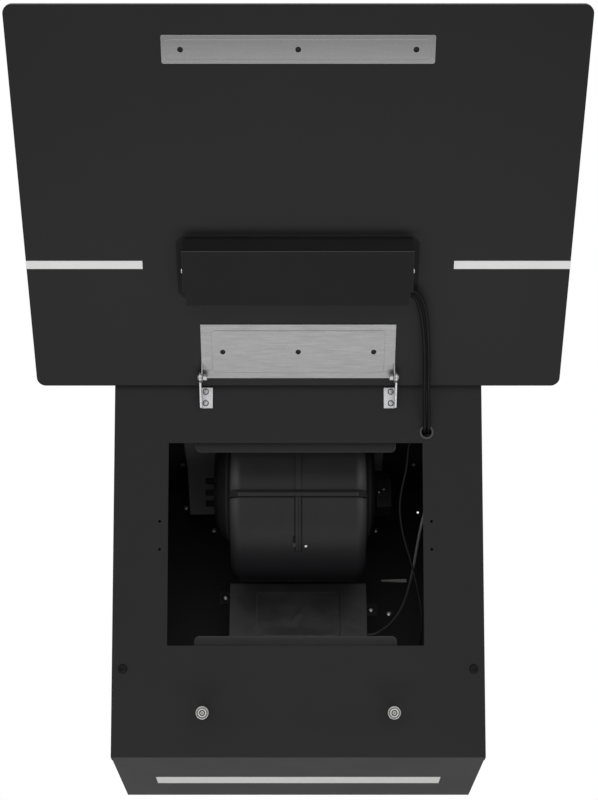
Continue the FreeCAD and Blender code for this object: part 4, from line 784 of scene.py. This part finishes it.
def drawn_lid():
    """Thin black lid: satin, faintly uneven; its raised field's outline carries a painted highlight, which
    turns to painted shade on the right.
    """
    wave_size, wave_depth, outline_paint_share = 0.02, 0.002, 0.45
    material, tree, shader, place = surface("drawn_black_lid")
    colour, clouds = mottled(tree, place, "#343435", "#3f3f40", size=0.04)
    ways = ways_over(tree, place, lid_field, Vector((0, 0, 1)))
    from_line = field_outline(tree, ways, lid_halves, emboss_corner)
    painted_outline = add(tree, "ShaderNodeMath", {
        0: band(tree, from_line, low=-1.0, high=0.0003, soft=0.0007), 1: outline_paint_share,
    }, operation="MULTIPLY")[0]
    shaded = band(tree, ways[0], low=0.05, high=1.0, soft=0.004)
    edge = add(tree, "ShaderNodeMix", {
        0: shaded, 6: linear("#6c6c6d"), 7: linear("#050505"),
    }, data_type="RGBA")[2]
    colour = add(tree, "ShaderNodeMix", {0: painted_outline, 6: colour, 7: edge}, data_type="RGBA")[2]
    waves = add(tree, "ShaderNodeTexNoise", {"Vector": place, "Scale": 1 / wave_size, "Detail": 1.0})["Fac"]
    bump = add(tree, "ShaderNodeBump", {"Height": waves, "Strength": 0.5, "Distance": wave_depth})
    rough = add(tree, "ShaderNodeMapRange", {"Value": clouds, "To Min": 0.38, "To Max": 0.5})
    give(tree, shader, {
        "Base Color": colour, "Roughness": rough["Result"], "Normal": bump["Normal"],
        "Specular IOR Level": 0.35,
    })
    return material


softened("electronics_tray", wheel_plastic, radius=0.0004)
softened("electronics_lid", drawn_lid(), radius=0.0006, shaping=dented)
capacitor_can = moulded_plastic("grey_capacitor_can", "#4a4b4d", "#57585a", rough=(0.35, 0.45))
softened("run_capacitor", capacitor_can, radius=0.0015)
into_room = Vector((0, -1, 0))
downward = Vector((0, 0, -1))
sheet_screw = {"head_height": 0.0022, "shank_radius": 0.00175}
fastened("lug_screws", washer_head, into_room, zinc_bright, **sheet_screw, seed=6)
fastened("back_screws", cross_head, into_room, zinc_bright, **sheet_screw, seed=7)
fastened("top_screws", cross_head, downward, zinc_bright, **sheet_screw, seed=8)
softened("cable_strap", silky_finish("moulded_natural_nylon", "#a9a9a6", "#b5b5b2"), radius=0.0005)


# Outlet: a moulded collar for a 150 mm duct, screwed to the top panel, with two light flaps on one pin.
# The flaps fall shut when the fan stops; collar and flaps are the same kind of black plastic.
collar_plastic = moulded_plastic("moulded_black_collar", "#1c1c1d", "#242425", rough=(0.4, 0.5))
softened("outlet_collar", collar_plastic, radius=0.0005)
for flap in ("front_damper_flap", "rear_damper_flap"):
    softened(flap, wheel_plastic, radius=0.0003)
softened("damper_pin", zinc_dull, radius=0.0003)
fastened("collar_screws", cross_head, -downward, zinc_dull, head_height=0.0022, shank_radius=0.0012, seed=9)


# Glass front: 6 mm toughened glass with ground edges, black enamel fired on its inner face, open at rest.
# Two silver bands are printed on it, and a strike plate and the hinge plate are glued to it.
glass_rise = math.radians(33.843)
off_glass = Vector((0, -math.sin(glass_rise), -math.cos(glass_rise)))
up_glass = Vector((0, -math.cos(glass_rise), math.sin(glass_rise)))
inner_face = max(corner.co.dot(off_glass) for corner in frame["nodes"]["glass_panel"].data.vertices)
glass_thickness = 0.006
enamel_skin = 0.0007


def enamelled_glass():
    """Black glass: satin enamel on the inner face, pale ground edges, and a polished outer face."""
    polish = 0.06
    material, tree, shader, place = surface("black_enamelled_glass")
    depth = add(tree, "ShaderNodeVectorMath", {0: place, 1: off_glass}, operation="DOT_PRODUCT")["Value"]
    inner = add(tree, "ShaderNodeMapRange", {
        "Value": depth, "From Min": inner_face - 2 * enamel_skin, "From Max": inner_face - enamel_skin,
    })["Result"]
    outer = add(tree, "ShaderNodeMapRange", {
        "Value": depth, "From Min": inner_face - glass_thickness + enamel_skin,
        "From Max": inner_face - glass_thickness + 2 * enamel_skin, "To Min": 1.0, "To Max": 0.0,
    })["Result"]
    face = add(tree, "ShaderNodeMath", {0: inner, 1: outer}, operation="MAXIMUM")[0]
    colour, clouds = mottled(tree, place, "#1a1a1b", "#1d1d1e", size=0.15)
    ground = add(tree, "ShaderNodeMix", {0: face, 6: linear("#838987"), 7: colour}, data_type="RGBA")
    satin = add(tree, "ShaderNodeMapRange", {"Value": clouds, "To Min": 0.5, "To Max": 0.56})
    rough = add(tree, "ShaderNodeMix", {0: outer, 2: satin["Result"], 3: polish}, data_type="FLOAT")
    give(tree, shader, {"Base Color": ground[2], "Roughness": rough[0], "Specular IOR Level": 0.16})
    return material


# The arris round each face is ground at 45 degrees; it is painted near black, a painted shade line along the
# glass's edges.
arris_shade_coat = powder_coat("dark_ground_arris", "#0b0b0c", "#101011")
softened("glass_panel", enamelled_glass(), radius=0.001, edge=arris_shade_coat)
silver_print = silky_finish("silver_enamel_print", "#cecece", "#d4d4d4")
for strip in ("left_trim_strip", "right_trim_strip"):
    dressed(strip, silver_print)


def pressed_line(tree, place, middle, halves, top_darkening):
    """On a plate: a soft line of painted shade 0.9 mm wide at the foot of its field, stronger along its
    lower side, and a darkening that grows towards the plate's top.
    """
    ways = ways_over(tree, place, middle, up_glass)
    from_line = field_outline(tree, ways, halves, emboss_corner)
    reach = {"Value": ways[1], "From Min": -halves[1], "From Max": halves[1]}
    line_shade = add(tree, "ShaderNodeMapRange", {**reach, "To Min": 0.25, "To Max": 0.02})[0]
    top_darkening_share = add(tree, "ShaderNodeMapRange", {**reach, "To Min": 0.0, "To Max": top_darkening})[0]
    line = band(tree, from_line, low=-1.0, high=0.0002, soft=0.0005)
    return add(tree, "ShaderNodeMath", {0: line, 1: line_shade, 2: top_darkening_share}, operation="MULTIPLY_ADD")[0]


glass_hinge = next(joint for joint in frame["joints"] if joint["name"] == "glass_front_hinge")
pivot_off_glass = 0.008
pivot_foot = Vector(glass_hinge["pos_m"]) - pivot_off_glass * off_glass


def on_glass(up):
    """The point on the inner face that is so far up from the foot of the pivot."""
    return pivot_foot + up * up_glass


# Of a plate's raised field: how far up the glass its middle is, its inset from the ends, half its height.
for plate, tones, top_darkening, field_up, inset, half_height in (
    ("strike_plate", ("#868687", "#8e8e8f"), 0.2, 0.3732, 0.0046, 0.01015),
    ("hinge_plate", ("#89898a", "#919192"), 0.0, 0.02915, 0.0124, 0.02625),
):
    middle = on_glass(field_up)
    halves = (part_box(plate)[1][0] - inset, half_height)
    zinc_sheet = bright_metal(
        "zinc_coated_sheet_" + plate, *tones, patch=0.0012, rough=(0.46, 0.56),
        painted_shading=lambda tree, place: pressed_line(tree, place, middle, halves, top_darkening),
    )
    # The plate's rounded edges take the brighter pressed zinc as a painted highlight.
    softened(plate, zinc_sheet, radius=0.0005, edge=zinc_pressed)


# Control box: a folded tray glued to the glass and a folded cover over it, screwed at both ends.
# Thin black coated sheet with tight bends; a pale line along the ridge bend is a painted highlight, and the
# wall above it is painted a little lighter.
ridge_up, ridge_out = 0.163, 0.028
cover_ridge = on_glass(ridge_up) + ridge_out * off_glass


def painted_ridge_highlight(tree, place):
    """The bend along the cover's ridge, painted pale as a highlight, and the wall above it, painted a little
    lighter.
    """
    ridge_share, wall_share = 0.4, 0.1
    off = add(tree, "ShaderNodeVectorMath", {0: place, 1: cover_ridge}, operation="SUBTRACT")["Vector"]
    off = add(tree, "ShaderNodeVectorMath", {0: off, 1: (0, 1, 1)}, operation="MULTIPLY")["Vector"]
    away = add(tree, "ShaderNodeVectorMath", {0: off}, operation="LENGTH")["Value"]
    ridge = band(tree, away, low=-1.0, high=0.0006, soft=0.0007)
    above = ways_over(tree, place, cover_ridge, up_glass)[1]
    wall = band(tree, above, low=0.0005, high=1.0, soft=0.0003)
    wall = add(tree, "ShaderNodeMath", {0: wall, 1: wall_share}, operation="MULTIPLY")[0]
    return add(tree, "ShaderNodeMath", {0: ridge, 1: ridge_share, 2: wall}, operation="MULTIPLY_ADD")[0]


tray_coat = powder_coat("fine_black_powder_coat", "#161617", "#19191a", gloss=0.1)
cover_coat = powder_coat("fine_black_powder_coat_rubbed", "#161617", "#19191a", gloss=0.1, painted_highlight=painted_ridge_highlight)
softened("control_tray", tray_coat, radius=0.0003, edge=edge_highlight_coat)
softened("control_cover", cover_coat, radius=0.0006, edge=edge_highlight_coat)
fastened("cover_screws", cross_head, outward, zinc_bright, **sheet_screw, seed=10)


# Cables: two black PVC leads run from the control box into the grommet, and inside the casing a black one
# goes to the lamp and a grey one to the electronics tray. Their extruded jackets are 2.5 to 4 mm across,
# hang in soft bends and are held only at their ends.
def pvc_jacket(name, first, second, gloss):
    """Extruded PVC: a satin skin with faint patches 6 mm across, where it was handled."""
    material, tree, shader, place = surface(name)
    colour, clouds = mottled(tree, place, first, second, size=0.006)
    rough = add(tree, "ShaderNodeMapRange", {"Value": clouds, "To Min": 0.38, "To Max": 0.5})
    bump = add(tree, "ShaderNodeBump", {"Height": clouds, "Strength": 0.08, "Distance": 0.0002})
    give(tree, shader, {
        "Base Color": colour, "Roughness": rough["Result"], "Normal": bump["Normal"],
        "Specular IOR Level": gloss,
    })
    return material


def run_of(route, radius=0.0):
    """A mesh along the smooth line of a route: its points in order, or a round tube of that radius."""
    line = bpy.data.curves.new("route", "CURVE")
    line.dimensions = "3D"
    line.resolution_u = 8
    line.bevel_depth = radius
    line.bevel_resolution = 4
    line.use_fill_caps = True
    spline = line.splines.new("NURBS")
    spline.points.add(len(route) - 1)
    for point, place in zip(spline.points, route):
        point.co = (*place, 1.0)
    spline.order_u = 3
    spline.use_endpoint_u = True
    return plain_mesh(in_scene("draft", line))


cable_routes = {
    "left_panel_cable": [
        (0.112, -0.4526, 0.1837), (0.122, -0.4526, 0.1837), (0.130, -0.4483, 0.1802),
        (0.134, -0.4397, 0.1733), (0.1365, -0.4300, 0.1662), (0.1396, -0.4136, 0.1540),
        (0.1421, -0.3876, 0.1353), (0.1426, -0.3620, 0.1183), (0.1431, -0.3495, 0.1058),
        (0.1437, -0.3391, 0.0932), (0.1442, -0.3311, 0.0840), (0.1445, -0.3234, 0.0796),
        (0.1445, -0.3168, 0.0806),
    ],
    "right_panel_cable": [
        (0.112, -0.4567, 0.1865), (0.124, -0.4567, 0.1865), (0.134, -0.4516, 0.1824),
        (0.1395, -0.4422, 0.1749), (0.142, -0.4308, 0.1667), (0.1447, -0.4115, 0.1526),
        (0.1464, -0.3876, 0.1353), (0.1474, -0.3620, 0.1183), (0.1482, -0.3495, 0.1058),
        (0.1485, -0.3391, 0.0932), (0.1487, -0.3311, 0.0840), (0.1487, -0.3234, 0.0796),
        (0.1487, -0.3168, 0.0806),
    ],
    "lamp_lead": [
        (0.1445, -0.3168, 0.0806), (0.1445, -0.3089, 0.0818), (0.1361, -0.2999, 0.0814),
        (0.1283, -0.2923, 0.0785), (0.1272, -0.2864, 0.0690), (0.1259, -0.2801, 0.0532),
        (0.1206, -0.2723, 0.0337), (0.1170, -0.2636, 0.0146), (0.1186, -0.2542, -0.0064),
        (0.1232, -0.2455, -0.0255), (0.1289, -0.2382, -0.0410), (0.1334, -0.2316, -0.0577),
        (0.1373, -0.2253, -0.0735), (0.1406, -0.2203, -0.0887), (0.143, -0.2136, -0.1054),
        (0.1415, -0.2037, -0.1252), (0.138, -0.1883, -0.1449), (0.135, -0.1683, -0.1627),
        (0.134, -0.1464, -0.1798), (0.1345, -0.1245, -0.1970), (0.134, -0.1045, -0.2148),
        (0.134, -0.0885, -0.2290), (0.134, -0.0815, -0.2380), (0.134, -0.0815, -0.2452),
    ],
    "power_lead": [
        (0.1487, -0.3168, 0.0806), (0.1487, -0.3089, 0.0818), (0.1505, -0.2979, 0.0763),
        (0.152, -0.2864, 0.0636), (0.152, -0.2740, 0.0406), (0.149, -0.2590, 0.0164),
        (0.1418, -0.2378, -0.0071), (0.1384, -0.1923, -0.0268), (0.1348, -0.1486, -0.0420),
        (0.1286, -0.1058, -0.0547), (0.118, -0.0725, -0.0626), (0.1063, -0.0537, -0.0666),
        (0.098, -0.046, -0.0688), (0.0915, -0.043, -0.0695), (0.0865, -0.043, -0.0695),
    ],
}
cable_radii = {
    "left_panel_cable": 0.002, "right_panel_cable": 0.002, "lamp_lead": 0.00125, "power_lead": 0.0016,
}
black_pvc = pvc_jacket("extruded_black_pvc", "#0d0d0d", "#131313", gloss=0.1)
grey_pvc = pvc_jacket("extruded_grey_pvc", "#4a4a4b", "#585859", gloss=0.3)
for name, route in cable_routes.items():
    line = [Vector(point.co) for point in run_of(route).vertices]
    tube = run_of(route, cable_radii[name])
    tube.materials.clear()
    tube.materials.append(grey_pvc if name == "power_lead" else black_pvc)
    cable = in_scene(name + ".jacket", tube)
    if name.endswith("panel_cable"):
        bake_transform(cable)
    else:
        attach(cable, "casing")
    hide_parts(name)


# Studio: a pale floor well below the hood, soft light from in front and below, and white all round.
# The camera stands where the photograph was taken, low in front, looking up under the open glass.
bpy.context.scene.view_settings.view_transform = "Standard"
floor_height = -1.3
floor_half = 4.0
work = bmesh.new()
bmesh.ops.create_grid(work, x_segments=8, y_segments=8, size=floor_half)
bmesh.ops.translate(work, verts=work.verts, vec=(0, 0, floor_height))
floor = drawn_shape("studio_floor", work)
floor_paint, tree, shader, place = surface("matt_pale_floor_paint")
colour = mottled(tree, place, "#e6e6e4", "#ebebe9", size=0.6)[0]
give(tree, shader, {"Base Color": colour, "Roughness": 0.8})
floor.data.materials.append(floor_paint)

world = bpy.data.worlds.new("white_studio")
world.use_nodes = True
bpy.context.scene.world = world
tree = world.node_tree
ambient = 0.5
path = add(tree, "ShaderNodeLightPath")
sight = path["Is Camera Ray"]
for ray in ("Is Glossy Ray", "Is Transmission Ray"):
    sight = add(tree, "ShaderNodeMath", {0: sight, 1: path[ray]}, operation="MAXIMUM")[0]
level = add(tree, "ShaderNodeMapRange", {"Value": sight, "To Min": ambient, "To Max": 1.0})
give(tree, tree.nodes["Background"], {"Strength": level["Result"], "Color": linear("#ffffff")})


def soft_light(name, place, aim, *, width, height, watts):
    """A wide studio light at a place, turned to an aim and left out of the picture itself."""
    lamp = bpy.data.lights.new(name, "AREA")
    lamp.shape = "RECTANGLE"
    lamp.size = width
    lamp.size_y = height
    lamp.energy = watts
    stand = in_scene(name, lamp)
    stand.location = place
    stand.rotation_euler = (Vector(aim) - Vector(place)).to_track_quat("-Z", "Y").to_euler()
    stand.visible_camera = False


soft_light("front_softbox", (0, -2.6, -0.3), (0, -0.3, 0.0), width=4.0, height=2.6, watts=29)
soft_light("low_softbox", (0, -0.68, -1.2), (0, -0.67, 0.1), width=1.8, height=0.35, watts=8.5)

camera_place = (0, -1.8604, -0.6762)
camera_tilt = math.radians(27.36)
photo_camera = bpy.data.cameras.new("photo_camera")
photo_camera.sensor_fit = "VERTICAL"
photo_camera.sensor_height = 36
photo_camera.lens = 67.49
photo_camera.shift_x = 0.00095
photo_camera.clip_start = 0.01
camera = in_scene("photo_camera", photo_camera)
camera.location = camera_place
camera.rotation_euler = (math.pi / 2 + camera_tilt, 0, 0)
bpy.context.scene.camera = camera
